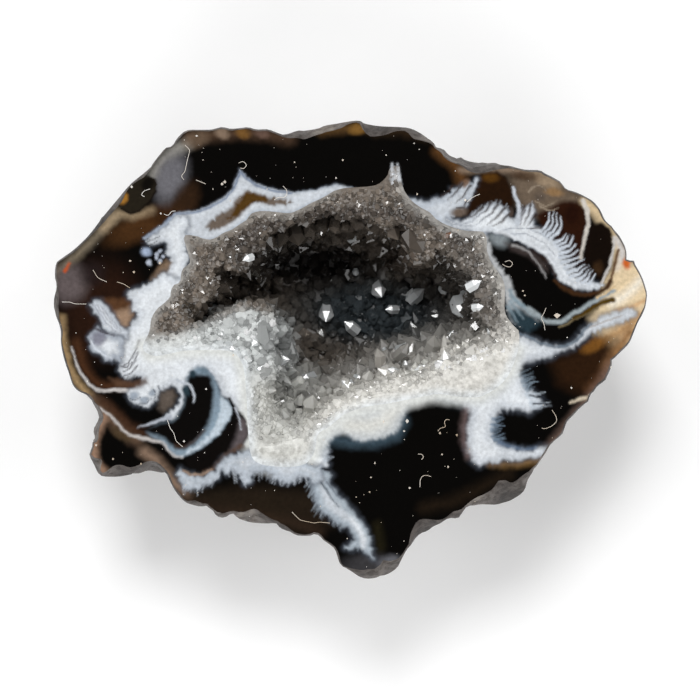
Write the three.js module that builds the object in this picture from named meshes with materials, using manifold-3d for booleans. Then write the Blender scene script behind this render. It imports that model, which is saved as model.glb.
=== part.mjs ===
// Geode half: a small agate nodule cut across and polished, its hollow lined with quartz crystals.
// Millimetres, +Z up. The stone lies on its back, so the cut face looks up. The origin is under
// the middle of the stone, on the small flat patch of the underside that it rests on.

import * as THREE from 'three';
import { mergeVertices } from 'three/addons/utils/BufferGeometryUtils.js';
import Module from 'manifold-3d';

// Driving dimensions
const HEIGHT = 23; // cut face above the resting patch
const HOLLOW_DEPTH = 13.5; // open hollow, from the cut face to its floor between the crystals
const CRUST_FLOOR = 2.2; // crust under the floor of the hollow
const CRUST_GAP = 0.3; // joint between the crust and the agate around it
const REST_SCALE = 0.34; // resting patch, as a share of the stone's outline
const EDGE_INSET = 0.25; // worn edge of the cut face, seen from above
const EDGE_DROP = 0.7; // worn edge of the cut face, seen from the side
const CHIP_SLOPE = 1.1; // drop of a chip for each millimetre that it cuts in

// Outside
const RIND_STEPS = 10; // rings between the widest outline and the resting patch
const ROUNDING_STEPS = 4; // rings over which the outline's corners round off
const ROUNDING_PASSES = 22; // how far they round off
const KNOB_COUNT = 64; // low round knobs all over the outside
const KNOB_REACH = [3.6, 7.0];
const KNOB_HEIGHT = [0.9, 2.2];
const KNOB_SINK = 1.2; // the ground between the knobs, below the plain form
const PIT_SIZE = 2.4;
const PIT_DEPTH = 0.9;

// Crust
const WALL_STEPS = 5;
const CAVITY_STEPS = 5;
const FLOOR_MIDDLE = new THREE.Vector2(-1.5, 4.0);
const FLOOR_SCALE = 0.3;
const GENTLE_WALL = 1.1; // lower and right walls run down evenly to the floor
const STEEP_WALL = 3.6; // upper and left walls stay near the mouth and turn in at the floor
const CRYSTAL_COUNT = 78;
const CRYSTAL_SEED = 0; // picks one scatter of crystals that leaves no closed pocket between them
const CRYSTAL_SHARES = [0.1, 1.0]; // from just under the mouth to the floor
const CRYSTAL_RADIUS = [0.55, 1.25];
const CRYSTAL_STEM = [1.0, 1.7];
const CRYSTAL_TIP = 1.25; // height of the pyramid, in crystal radii
const CRYSTAL_ROOT = 0.8; // length of the crystal that is sunk in the crust
const CRYSTAL_LEAN = 0.6; // how far the crystals stray from growing towards the open middle

// Widest outline of the stone, clockwise from its left corner
const OUTLINE = [
  [-29.6, 8.0], [-29.2, 9.0], [-27.0, 10.7], [-25.0, 13.1], [-23.2, 15.3], [-21.0, 17.5], [-19.7, 18.8],
  [-18.5, 20.2], [-17.6, 20.7], [-16.9, 21.7], [-16.3, 22.0], [-14.0, 22.1], [-12.8, 22.4], [-10.2, 22.3],
  [-8.2, 22.1], [-6.7, 21.6], [-5.3, 22.0], [-3.0, 22.3], [-1.5, 22.7], [0.9, 23.0], [2.0, 22.7],
  [5.0, 22.4], [6.4, 22.1], [7.8, 21.2], [8.6, 20.4], [9.6, 19.4], [11.3, 18.6], [12.5, 18.3],
  [14.8, 18.6], [17.1, 18.2], [19.0, 18.0], [20.6, 17.2], [21.7, 16.1], [23.1, 15.6], [24.2, 15.0],
  [25.1, 14.0], [25.7, 12.8], [26.9, 11.6], [27.6, 10.2], [27.7, 9.0], [28.4, 9.0], [29.0, 7.8],
  [29.8, 5.6], [29.5, 4.1], [28.9, 2.8], [28.1, 1.0], [27.2, -0.1], [26.2, -1.1], [26.1, -2.0],
  [25.5, -3.1], [24.5, -4.0], [24.0, -5.1], [22.3, -6.6], [21.5, -7.8], [21.3, -8.4], [20.1, -9.5],
  [19.1, -11.0], [18.5, -11.9], [17.9, -12.9], [17.6, -14.1], [16.7, -14.9], [15.4, -15.5], [14.0, -15.6],
  [11.7, -15.7], [10.9, -16.9], [10.0, -16.8], [8.8, -17.5], [7.8, -18.2], [6.7, -18.8], [5.8, -19.9],
  [5.0, -21.4], [4.3, -22.3], [3.0, -22.7], [2.0, -23.0], [0.9, -22.7], [-0.9, -21.6], [-1.4, -20.3],
  [-2.2, -19.4], [-3.1, -18.6], [-5.0, -18.6], [-6.0, -18.2], [-7.5, -17.4], [-9.8, -17.4], [-11.2, -16.9],
  [-11.9, -16.4], [-12.6, -16.8], [-13.5, -16.5], [-14.4, -15.6], [-15.7, -15.6], [-16.9, -14.9],
  [-17.8, -13.7], [-18.4, -12.4], [-19.3, -11.5], [-20.3, -11.4], [-21.4, -12.0], [-21.9, -12.4],
  [-23.2, -12.7], [-24.7, -12.7], [-25.4, -12.1], [-26.1, -10.4], [-25.8, -9.1], [-25.3, -8.4],
  [-24.9, -6.7], [-25.7, -5.3], [-26.6, -4.4], [-27.6, -3.8], [-28.2, -2.1], [-28.8, -0.2], [-29.0, 1.8],
  [-29.4, 3.1], [-29.7, 4.4], [-29.5, 6.0],
];

// Line on the cut face where the agate ends and the crust begins, clockwise from the left
const CRUST_EDGE = [
  [-20.7, 0.0], [-20.6, 0.8], [-20.0, 2.2], [-19.7, 3.6], [-18.7, 4.6], [-17.9, 6.0], [-17.0, 6.8],
  [-16.7, 8.2], [-16.0, 8.8], [-16.3, 10.0], [-16.6, 11.4], [-15.4, 11.4], [-14.0, 11.1], [-12.6, 11.8],
  [-11.0, 12.6], [-10.0, 13.6], [-8.8, 13.9], [-6.9, 13.8], [-5.3, 14.0], [-3.8, 14.8], [-2.2, 15.6],
  [-0.5, 16.2], [2.0, 16.4], [3.4, 17.1], [4.0, 18.2], [4.9, 18.4], [5.2, 16.6], [5.8, 15.4],
  [7.0, 14.3], [8.5, 13.2], [9.7, 12.5], [11.0, 12.1], [13.2, 11.9], [13.7, 11.0], [13.7, 10.0],
  [14.1, 8.8], [14.8, 7.8], [15.5, 6.0], [15.5, 3.8], [16.3, 2.5], [16.9, 1.8], [16.8, 0.0],
  [16.0, -2.2], [15.0, -3.5], [13.2, -4.6], [11.2, -4.7], [9.0, -4.4], [7.5, -4.6], [5.5, -5.0],
  [3.5, -5.4], [1.5, -5.7], [-0.5, -6.4], [-2.0, -7.6], [-3.2, -8.4], [-3.4, -9.5], [-3.7, -10.5],
  [-4.5, -11.4], [-6.0, -11.7], [-8.0, -11.6], [-9.2, -11.3], [-9.9, -10.5], [-10.2, -8.0], [-10.3, -5.5],
  [-10.4, -4.0], [-10.6, -2.0], [-11.2, -0.6], [-12.2, -0.1], [-13.8, 0.0], [-15.2, 0.0], [-16.8, -0.1],
  [-18.2, -0.4], [-19.6, -0.6],
];

// Mouth of the hollow on the cut face, clockwise from the left; the shelf juts in on the left
const MOUTH = [
  [-16.0, 2.8], [-15.3, 4.5], [-14.5, 5.2], [-13.7, 6.0], [-13.6, 6.8], [-13.9, 7.9], [-13.3, 8.4],
  [-12.6, 8.8], [-11.7, 8.1], [-10.4, 8.5], [-10.2, 9.7], [-9.0, 9.9], [-8.8, 11.0], [-8.0, 12.0],
  [-6.9, 12.6], [-5.2, 13.0], [-3.8, 13.3], [-2.8, 14.0], [-1.5, 13.8], [-0.5, 13.4], [1.0, 13.6],
  [2.2, 13.2], [3.5, 12.5], [4.6, 12.9], [5.8, 12.5], [6.5, 11.8], [6.3, 10.5], [6.5, 9.2],
  [8.0, 9.5], [8.7, 10.4], [9.7, 9.8], [10.8, 9.2], [11.8, 8.0], [12.6, 6.8], [13.2, 5.4],
  [13.0, 3.8], [14.0, 2.6], [14.7, 1.6], [13.8, 0.8], [12.0, 0.0], [10.5, -0.8], [9.0, -1.6],
  [7.5, -2.4], [5.5, -3.0], [3.5, -3.3], [1.5, -4.0], [0.0, -4.7], [-1.5, -5.5], [-2.8, -6.8],
  [-4.2, -7.8], [-5.8, -8.0], [-7.5, -7.6], [-8.6, -6.2], [-8.8, -4.6], [-8.4, -3.0], [-7.8, -2.0],
  [-8.0, -0.2], [-7.8, 1.0], [-8.0, 2.8], [-8.4, 4.2], [-10.0, 4.6], [-11.8, 3.9], [-13.5, 3.2],
  [-15.0, 2.4],
];

// Chips out of the edge of the cut face: middle, reach along the edge and depth
const CHIPS = [
  { x: -25.0, y: 13.0, reach: 6.5, depth: 0.6 },
  { x: -29.5, y: 5.5, reach: 2.2, depth: 0.4 },
  { x: -4.7, y: 21.9, reach: 2.6, depth: 0.8 },
  { x: 2.6, y: 22.6, reach: 2.4, depth: 1.1 },
  { x: 6.8, y: 21.7, reach: 1.8, depth: 0.9 },
  { x: 13.0, y: 18.4, reach: 2.6, depth: 0.6 },
  { x: -23.0, y: -12.7, reach: 2.2, depth: 1.0 },
  { x: -15.4, y: -15.5, reach: 1.5, depth: 0.6 },
  { x: -12.8, y: -16.7, reach: 1.2, depth: 0.9 },
  { x: -9.8, y: -17.4, reach: 2.4, depth: 1.3 },
  { x: -6.6, y: -17.8, reach: 1.3, depth: 0.6 },
  { x: 3.7, y: -22.4, reach: 1.6, depth: 1.2 },
  { x: 1.6, y: -22.8, reach: 1.2, depth: 0.6 },
  { x: 7.6, y: -18.2, reach: 1.9, depth: 1.2 },
  { x: 10.4, y: -16.8, reach: 1.0, depth: 0.7 },
  { x: 15.0, y: -15.4, reach: 3.8, depth: 2.3 },
];

const AGATE_COLOUR = 0x1d1611;
const CRUST_COLOUR = 0xb0aba0;
const UP = new THREE.Vector3(0, 1, 0);
const GOLDEN_TURN = 0.618034;

const wasm = await Module();
wasm.setup();

// A repeatable number from 0 to 1 for a whole number
function chance(seed) {
  const wave = Math.sin(seed * 12.9898 + 4.1414) * 43758.5453;
  return wave - Math.floor(wave);
}

function pick(range, share) {
  return range[0] + (range[1] - range[0]) * share;
}

function cornerValue(x, y, z) {
  return chance(x * 1.37 + y * 57.31 + z * 113.77);
}

// Smooth random relief from 0 to 1, with features one unit apart
function relief(x, y, z) {
  const cell = [Math.floor(x), Math.floor(y), Math.floor(z)];
  const [fx, fy, fz] = [x - cell[0], y - cell[1], z - cell[2]].map((f) => f * f * (3 - 2 * f));
  let sum = 0;
  for (const dx of [0, 1]) {
    for (const dy of [0, 1]) {
      for (const dz of [0, 1]) {
        const share = (dx ? fx : 1 - fx) * (dy ? fy : 1 - fy) * (dz ? fz : 1 - fz);
        sum += share * cornerValue(cell[0] + dx, cell[1] + dy, cell[2] + dz);
      }
    }
  }
  return sum;
}

function toVectors(pairs) {
  return pairs.map(([x, y]) => new THREE.Vector2(x, y));
}

function neighbours(loop, i) {
  const count = loop.length;
  return [loop[(i + count - 1) % count], loop[(i + 1) % count]];
}

// Unit vector out of a clockwise loop at one of its points
function outward(loop, i) {
  const [before, after] = neighbours(loop, i);
  const along = after.clone().sub(before).normalize();
  return new THREE.Vector2(-along.y, along.x);
}

function insetLoop(loop, insetAt) {
  return loop.map((point, i) => point.clone().addScaledVector(outward(loop, i), -insetAt(point)));
}

function smoothLoop(loop, passes) {
  let smooth = loop;
  for (let pass = 0; pass < passes; pass += 1) {
    smooth = smooth.map((point, i) => {
      const [before, after] = neighbours(smooth, i);
      return point.clone().multiplyScalar(2).add(before).add(after).multiplyScalar(0.25);
    });
  }
  return smooth;
}

function chipDepth(point) {
  const depths = CHIPS.map(({ x, y, reach, depth }) => {
    const near = Math.max(0, 1 - (point.distanceTo(new THREE.Vector2(x, y)) / reach) ** 2);
    return depth * Math.sqrt(near);
  });
  return Math.max(0, ...depths);
}

// Closed solid through clockwise rings of equal count, listed from the lowest up
function loft(rings) {
  const count = rings[0].length;
  const positions = rings.flat().flatMap((point) => [point.x, point.y, point.z]);
  const index = [];
  for (let ring = 0; ring + 1 < rings.length; ring += 1) {
    for (let i = 0; i < count; i += 1) {
      const next = (i + 1) % count;
      const [a, b] = [ring * count + i, ring * count + next];
      index.push(a, a + count, b, b, a + count, b + count);
    }
  }
  const flat = (ring) => ring.map((point) => new THREE.Vector2(point.x, point.y));
  const top = (rings.length - 1) * count;
  for (const [a, b, c] of THREE.ShapeUtils.triangulateShape(flat(rings[0]), [])) {
    index.push(a, c, b);
  }
  for (const [a, b, c] of THREE.ShapeUtils.triangulateShape(flat(rings.at(-1)), [])) {
    index.push(top + a, top + b, top + c);
  }
  const geometry = new THREE.BufferGeometry();
  geometry.setAttribute('position', new THREE.Float32BufferAttribute(positions, 3));
  geometry.setIndex(index);
  return geometry;
}

function toSolid(geometry) {
  const bare = geometry.clone();
  bare.deleteAttribute('normal');
  bare.deleteAttribute('uv');
  const merged = mergeVertices(bare, 1e-4);
  const vertProperties = new Float32Array(merged.getAttribute('position').array);
  const triVerts = new Uint32Array(merged.getIndex().array);
  return new wasm.Manifold(new wasm.Mesh({ numProp: 3, vertProperties, triVerts }));
}

function toMesh(name, solid, colour, roughness) {
  const { vertProperties, triVerts } = solid.getMesh();
  const geometry = new THREE.BufferGeometry();
  geometry.setAttribute('position', new THREE.BufferAttribute(vertProperties, 3));
  geometry.setIndex(new THREE.BufferAttribute(triVerts, 1));
  geometry.computeVertexNormals();
  const material = new THREE.MeshStandardMaterial({ color: colour, roughness, metalness: 0 });
  const mesh = new THREE.Mesh(geometry, material);
  mesh.name = name;
  return mesh;
}

const lift = (loop, z) => loop.map((point) => new THREE.Vector3(point.x, point.y, z));

// Knobs spread evenly over the lower half of an ellipsoid that follows the stone
function makeKnobs() {
  const knobs = [];
  for (let k = 0; k < KNOB_COUNT; k += 1) {
    const down = (k + 0.5) / KNOB_COUNT;
    const around = k * GOLDEN_TURN * Math.PI * 2;
    const side = Math.sqrt(1 - down * down);
    knobs.push({
      middle: new THREE.Vector3(28 * side * Math.cos(around), 22 * side * Math.sin(around), HEIGHT * (1 - down)),
      reach: pick(KNOB_REACH, chance(k + 0.15)),
      height: pick(KNOB_HEIGHT, chance(k + 0.35)),
    });
  }
  return knobs;
}

const knobs = makeKnobs();

// How far the outside stands out from its plain form
function rindRelief(place) {
  const swells = knobs.map(({ middle, reach, height }) => {
    const near = Math.max(0, 1 - (place.distanceTo(middle) / reach) ** 2);
    return height * Math.sqrt(near);
  });
  const pit = relief(place.x / PIT_SIZE, place.y / PIT_SIZE, place.z / PIT_SIZE) - 0.5;
  return Math.max(...swells) - KNOB_SINK + pit * PIT_DEPTH;
}

// Outside of the nodule, from the resting patch up to the cut face
function noduleRings() {
  const outline = toVectors(OUTLINE);
  const rounded = smoothLoop(outline, ROUNDING_PASSES);
  const rest = rounded.map((point) => point.clone().multiplyScalar(REST_SCALE));
  const rings = [lift(rest, 0)];
  for (let step = RIND_STEPS; step >= 1; step -= 1) {
    const turn = (step / (RIND_STEPS + 1)) * Math.PI / 2;
    const reach = REST_SCALE + (1 - REST_SCALE) * Math.cos(turn) ** 0.75;
    const rounding = Math.min(1, step / ROUNDING_STEPS);
    const roughness = Math.min(1, step / 2, (RIND_STEPS + 1 - step) / 3);
    rings.push(outline.map((point, i) => {
      const place = point.clone().lerp(rounded[i], rounding).multiplyScalar(reach);
      const z = (HEIGHT - EDGE_DROP - chipDepth(point) * CHIP_SLOPE) * (1 - Math.sin(turn));
      const push = roughness * rindRelief(new THREE.Vector3(place.x, place.y, z));
      place.addScaledVector(outward(rounded, i), push);
      return new THREE.Vector3(place.x, place.y, z);
    }));
  }
  rings.push(outline.map((point) => {
    const z = HEIGHT - EDGE_DROP - chipDepth(point) * CHIP_SLOPE;
    return new THREE.Vector3(point.x, point.y, z);
  }));
  rings.push(lift(insetLoop(outline, (point) => EDGE_INSET + chipDepth(point)), HEIGHT));
  return rings;
}

// How steeply the hollow's wall stands below a point of its mouth
function wallBend(point) {
  const upper = THREE.MathUtils.smoothstep(point.y - FLOOR_MIDDLE.y, -4, 5);
  const left = THREE.MathUtils.smoothstep(FLOOR_MIDDLE.x - point.x, 2, 6);
  return THREE.MathUtils.lerp(GENTLE_WALL, STEEP_WALL, Math.max(upper, left));
}

// Place on the hollow's wall, from 0 at the cut face to 1 at the floor
function wallPoint(point, depth, share) {
  const floor = FLOOR_MIDDLE.clone().lerp(point, FLOOR_SCALE);
  const place = point.clone().lerp(floor, share ** wallBend(point));
  return new THREE.Vector3(place.x, place.y, HEIGHT - depth * Math.sin(share * Math.PI / 2));
}

// Rings of a hollow below a loop on the cut face; a rim above the face lets it cut right through
function hollowRings(loop, depth, steps, rim) {
  const rings = [];
  for (let step = steps; step >= 0; step -= 1) {
    rings.push(loop.map((point) => wallPoint(point, depth, step / steps)));
  }
  if (rim > 0) {
    rings.push(lift(loop, HEIGHT + rim));
  }
  return rings;
}

// One six-sided crystal with a pointed end, rooted below the origin and growing along +Y
function crystalGeometry(radius, stem) {
  const profile = [[0, -CRYSTAL_ROOT], [radius, -CRYSTAL_ROOT], [radius, stem], [0, stem + radius * CRYSTAL_TIP]];
  return new THREE.LatheGeometry(toVectors(profile), 6);
}

// Crystals spread over the wall and floor of the hollow, each growing towards the open middle
function crystalSolids() {
  const mouth = toVectors(MOUTH);
  const draw = (k, use) => chance(CRYSTAL_SEED + k + use);
  const solids = [];
  for (let k = 0; k < CRYSTAL_COUNT; k += 1) {
    const around = ((k * GOLDEN_TURN) % 1) * mouth.length;
    const start = mouth[Math.floor(around)];
    const end = mouth[Math.ceil(around) % mouth.length];
    const point = start.clone().lerp(end, around % 1);
    const share = pick(CRYSTAL_SHARES, (k + 0.5) / CRYSTAL_COUNT);
    const root = wallPoint(point, HOLLOW_DEPTH, share);
    const inward = new THREE.Vector3(FLOOR_MIDDLE.x, FLOOR_MIDDLE.y, root.z + 6).sub(root).normalize();
    const lean = new THREE.Vector3(draw(k, 0.0) - 0.5, draw(k, 0.3) - 0.5, draw(k, 0.6) - 0.3);
    const axis = inward.addScaledVector(lean, CRYSTAL_LEAN).normalize();
    const radius = pick(CRYSTAL_RADIUS, draw(k, 0.1));
    const geometry = crystalGeometry(radius, pick(CRYSTAL_STEM, draw(k, 0.2)));
    const spin = new THREE.Quaternion().setFromAxisAngle(UP, draw(k, 0.4) * Math.PI);
    const turn = new THREE.Quaternion().setFromUnitVectors(UP, axis).multiply(spin);
    geometry.applyQuaternion(turn);
    geometry.translate(root.x, root.y, root.z);
    solids.push(toSolid(geometry));
  }
  return solids;
}

function agateShell() {
  const nodule = toSolid(loft(noduleRings()));
  const crustEdge = toVectors(CRUST_EDGE);
  const room = toSolid(loft(hollowRings(crustEdge, HOLLOW_DEPTH + CRUST_FLOOR, WALL_STEPS, 1)));
  return toMesh('agate_shell', nodule.subtract(room), AGATE_COLOUR, 0.25);
}

function crystalCrust() {
  const edge = insetLoop(toVectors(CRUST_EDGE), () => CRUST_GAP);
  const lining = toSolid(loft(hollowRings(edge, HOLLOW_DEPTH + CRUST_FLOOR - CRUST_GAP, WALL_STEPS, 0)));
  const hollow = toSolid(loft(hollowRings(toVectors(MOUTH), HOLLOW_DEPTH, CAVITY_STEPS, 1)));
  const crystals = crystalSolids().reduce((joined, crystal) => joined.add(crystal));
  const crust = lining.subtract(hollow.subtract(crystals));
  return toMesh('crystal_crust', crust, CRUST_COLOUR, 0.3);
}

const geode = new THREE.Group();
geode.add(agateShell(), crystalCrust());

export default geode;
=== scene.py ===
"""Looks of the geode half: banded polished face, knobbly rind, quartz crystals, lint on the face."""
import math

import bpy
import numpy as np
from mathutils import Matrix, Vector
from mathutils.geometry import delaunay_2d_cdt


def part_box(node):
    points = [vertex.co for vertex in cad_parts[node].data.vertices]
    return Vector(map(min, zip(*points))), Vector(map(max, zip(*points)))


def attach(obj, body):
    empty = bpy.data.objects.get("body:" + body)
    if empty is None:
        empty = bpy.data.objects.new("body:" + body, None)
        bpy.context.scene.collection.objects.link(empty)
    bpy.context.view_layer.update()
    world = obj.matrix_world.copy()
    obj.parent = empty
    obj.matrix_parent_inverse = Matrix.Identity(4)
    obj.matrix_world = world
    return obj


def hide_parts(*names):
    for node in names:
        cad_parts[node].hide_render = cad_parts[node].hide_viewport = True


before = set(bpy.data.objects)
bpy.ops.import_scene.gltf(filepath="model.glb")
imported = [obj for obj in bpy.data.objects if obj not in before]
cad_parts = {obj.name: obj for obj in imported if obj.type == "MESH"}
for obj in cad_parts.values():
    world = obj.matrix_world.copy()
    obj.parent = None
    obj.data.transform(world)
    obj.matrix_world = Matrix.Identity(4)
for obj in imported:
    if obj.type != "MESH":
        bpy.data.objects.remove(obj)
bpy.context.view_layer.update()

# Sizes, in millimetres
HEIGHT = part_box("agate_shell")[1].z * 1000
PX_PER_MM = 10.0  # scale of the photograph
PHOTO_MIDDLE = 350.0
HOLLOW_DEPTH = 13.5
CRUST_FLOOR = 2.2
REST_SCALE = 0.34
EDGE_INSET = 0.2
EDGE_DROP = 0.5
CHIP_SLOPE = 1.1
FACE_STEP = 0.15  # spacing of the points that carry the banding
RIM_STEP = 0.42
RIND_RINGS = 46
CRUST_STEP = 0.22
WALL_STEPS = 24
BACK_STEPS = 8
BACK_GAP = 0.1
FAR = 1000.0

# Outside, as in the solid
KNOB_COUNT = 64
KNOB_REACH = (3.6, 7.0)
KNOB_HEIGHT = (0.9, 2.2)
KNOB_SINK = 1.2
KNOB_SPREAD = (28, 22)
ROUND_PASSES = 350
NORMAL_PASSES = 60
SOLID_RINGS = 11
GOLDEN_TURN = 0.618034

# Hollow, as in the solid
FLOOR_MIDDLE = np.array([-1.5, 4.0])
FLOOR_SCALE = 0.3
GENTLE_WALL = 1.1
STEEP_WALL = 3.6

# Camera and light
CAMERA_LENS = 150.0
CAMERA_SENSOR = 36.0
VIEW_WIDTH = 70.0
WORLD_STRENGTH = 0.04

# Direction from the stone to the main light
KEY_WAY = np.array([-0.08, 0.5, 0.86])

# Lights: name, direction, distance and size in metres, watts
LIGHTS = [
    ("key", KEY_WAY, 0.8, 0.24, 3.3),
    ("left_fill", (-0.85, 0.15, 0.6), 0.9, 0.8, 4.2),
    ("right_fill", (0.85, 0.15, 0.6), 0.9, 0.8, 4.2),
    ("front_fill", (0.0, -0.8, 0.55), 0.9, 0.8, 5.0),
]

# Crystals and lint
WALL_CRYSTALS = 3700
RIM_CRYSTALS = 2700
CRYSTAL_POINTS = 13  # six corners at each end of the stem and the tip
CRYSTAL_FACES = 13  # six sides, six end faces and the base
CLEAR_DEPTH = 3.5  # depth at which the crystals turn from milky to clear
# Near-white paint on the glinting crystals: a painted glint over their real reflection
PAINTED_GLINT_COLOUR = (226, 229, 230)
FIBRE_RADIUS = 0.028
SPECK_COUNT = 230
QUARTZ_IOR = 1.544
AGATE_IOR = 1.54

rng = np.random.default_rng(26)

# Outlines read off the photograph, in its pixels, clockwise from the left
OUTLINE = [
    (54.5, 270), (55.5, 264), (58, 260.5), (70, 252), (80, 243.5), (90, 233), (100, 219.5), (108, 209.5),
    (118, 197.5), (130, 184), (140, 175.5), (150, 167.3), (153, 162.5), (160, 153.7), (165.5, 147.5),
    (170, 146.5), (174, 143), (176, 139), (181, 133.5), (187.5, 129.7), (200, 129.4), (210, 129.3),
    (216, 128), (222.5, 126.5), (230, 128.3), (240, 127.7), (248, 126.8), (256, 129), (268, 129),
    (277, 132.3), (283.5, 134.2), (290, 132.5), (297, 130), (305, 130), (313, 128.7), (320.5, 127),
    (325, 124.7), (335, 123.2), (345, 121.5), (359, 120.2), (364, 122.5), (370, 123.5), (380, 125),
    (400, 126.5), (408, 127.2), (414, 128.8), (421, 132.5), (428, 137.8), (433.5, 142), (436, 146.5),
    (442, 151.5), (446, 156.5), (452, 160), (458, 162.5), (463, 164.3), (466, 166.5), (475, 166.8),
    (482, 165), (490, 164.3), (498, 163.7), (505, 165), (511, 165.7), (521, 168.5), (528, 169.5),
    (540, 170), (545, 173), (550, 175.3), (556, 178.5), (560.5, 181.3), (564.8, 187), (567, 189.2),
    (575, 191.5), (581, 194), (592, 200), (597, 205), (601, 210.5), (604, 217), (607, 222), (611, 225),
    (614.5, 229.7), (619, 234.5), (622.3, 240), (626, 248), (627, 255), (627, 259.6), (629, 260.5),
    (634, 260.2), (636, 265), (640, 272), (644, 281), (646.5, 289.5), (647.5, 294), (646.5, 303),
    (645, 309.5), (642, 316), (638.5, 322), (636, 328), (633.5, 334.3), (631, 340.5), (627.7, 345.5),
    (622, 351), (616, 357), (611.8, 360.7), (612.5, 364), (610.7, 369.7), (607, 377.5), (605, 381),
    (598, 386), (595, 390.4), (590, 396), (589.6, 400.5), (585, 404), (579, 409.3), (573, 416), (568, 421),
    (565, 428), (563, 433.7), (557, 439), (551, 444.6), (548.8, 448), (545, 454.5), (541, 460), (538, 465),
    (534.5, 468.5), (533, 472.5), (529, 479.3), (527.5, 484), (526, 490.5), (522, 495.5), (517, 499),
    (511, 502.4), (504, 504.5), (497, 506), (490, 505.5), (482, 505), (474, 506), (467.2, 506.9),
    (462, 514), (459, 518.5), (455, 519), (450, 518.4), (445, 520.5), (441, 523.5), (438, 525),
    (433, 527.8), (428, 532), (422, 534), (416.5, 538), (411, 545.5), (407.5, 549.2), (403, 557),
    (400, 563.5), (398, 568), (393, 572.8), (386, 576.3), (380, 577), (377, 578.5), (370, 579.8),
    (364, 579.3), (358.5, 577), (353, 573), (347, 569), (341, 565.5), (338, 559), (336.2, 552.5),
    (334, 548.5), (328.5, 544), (322, 539.5), (319.5, 535.7), (312, 534.5), (310, 536), (300, 536),
    (295, 535), (290.5, 532.3), (283, 530), (278, 526.5), (275.5, 523.5), (268, 524), (260, 524.2),
    (251.8, 523.7), (245, 522), (238, 519), (234, 515), (231.3, 513.5), (228, 516), (224, 518), (219, 517.7),
    (215, 515), (214, 512), (210.5, 509.5), (206, 506), (200, 507), (193, 505.5), (186, 503), (181, 498.7),
    (177, 494), (172.3, 486.7), (169, 480), (166, 473.5), (161, 468), (157, 464.6), (152, 463), (147, 463.6),
    (143, 465.5), (139, 467.7), (136, 470), (131.5, 474.2), (126, 475.5), (118, 476.8), (110, 477.3),
    (103, 476.7), (99, 475), (96, 471), (93, 465.5), (90, 459), (89, 454.3), (90.5, 450), (92, 446),
    (92.4, 441), (96, 440.5), (96.7, 434), (98.3, 426), (101, 421), (101.4, 416.5), (99.5, 412), (97, 407),
    (93, 402.5), (90.7, 399), (88, 396.5), (84, 393.7), (78.9, 391.8), (74, 387.5), (71, 381.5),
    (67.8, 371.3), (64.5, 362), (62, 352.2), (60.5, 342), (60.4, 332.5), (59, 325), (56.5, 318.7),
    (54.5, 312), (53, 306.3), (53.4, 297.3), (55.5, 290), (56, 284), (54.5, 278),
]

# Inner edges of the chips out of the face's rim; each runs from rim to rim
CHIP_EDGES = [
    [(57, 262), (76, 251), (98, 229), (120, 203), (146, 177), (152, 166)],
    [(56, 284), (59, 285), (59, 300), (58.5, 310), (60, 322)],
    [(277, 132), (284, 138), (296, 138.5), (303.5, 141), (316, 134.5), (330, 131.5), (344, 127), (352, 121)],
    [(357, 121), (360, 140), (376, 137), (391, 134), (396, 130.8), (405, 130), (412, 140), (428, 142.5),
     (434, 144)],
    [(462, 165), (468, 171), (473, 175), (486, 172), (500, 169.5), (512, 167)],
    [(100, 475.5), (104, 469), (116, 464), (130, 465), (139, 467)],
    [(184, 502), (190, 499), (200, 501), (206, 506)],
    [(213, 511), (219, 507), (227, 509), (231, 513)],
    [(231, 513), (238, 510), (246, 508.5), (262, 509), (268, 514), (276, 523)],
    [(276, 523), (287, 522.5), (291, 532)],
    [(345, 568), (358, 569), (374, 569), (376, 560), (388, 556), (402, 557)],
    [(408, 549), (411, 520), (430, 516), (443, 521)],
    [(446, 520), (451, 508), (464, 509)],
    [(467, 507), (467.5, 500), (478, 497), (483, 489), (495, 481), (509, 477.5), (516, 470), (521, 474.5),
     (535, 468)],
]

# Where the crust meets the agate
CRUST_EDGE = [
    (143, 350), (144, 342), (148, 335), (150, 328), (151, 320), (153.5, 314), (158, 308), (163, 304),
    (170, 297), (171, 290), (174, 285), (180, 282), (181, 275), (183, 268.5), (190, 262.5), (187, 250),
    (184, 236), (196, 236), (203, 238.5), (210, 239.5), (217, 237), (224, 232.5), (232, 229.5), (240, 224),
    (247, 219.5), (250, 214.5), (255, 212), (262, 211), (272, 211.5), (281, 212.5), (290, 213), (297, 210.5),
    (303, 207.5), (312, 202.5), (320, 199), (328, 194.5), (335, 190.5), (345, 188), (352, 187.5), (360, 187),
    (370, 186.3), (378, 184.3), (384, 179.5), (388, 174.5), (390, 168), (399, 166), (400, 175), (402, 184),
    (405, 192), (408, 196), (412, 201), (420, 207), (430, 212.5), (435, 218), (441, 222), (447, 225),
    (460, 229.5), (470, 231), (482, 231.5), (485, 234), (487, 240), (487, 250), (491, 262), (498, 272),
    (503, 280), (505, 290), (505, 312), (513, 325), (519, 332), (518, 350), (510, 372), (500, 385),
    (482, 396), (462, 397), (440, 394), (425, 396), (405, 400), (385, 404), (365, 407), (345, 414),
    (330, 426), (318, 434), (316, 445), (313, 455), (305, 464), (290, 467), (270, 466), (258, 463),
    (251, 455), (248, 430), (247, 405), (246, 390), (244, 370), (238, 356), (228, 351), (212, 350),
    (198, 350), (182, 351), (168, 354), (154, 356),
]

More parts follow.
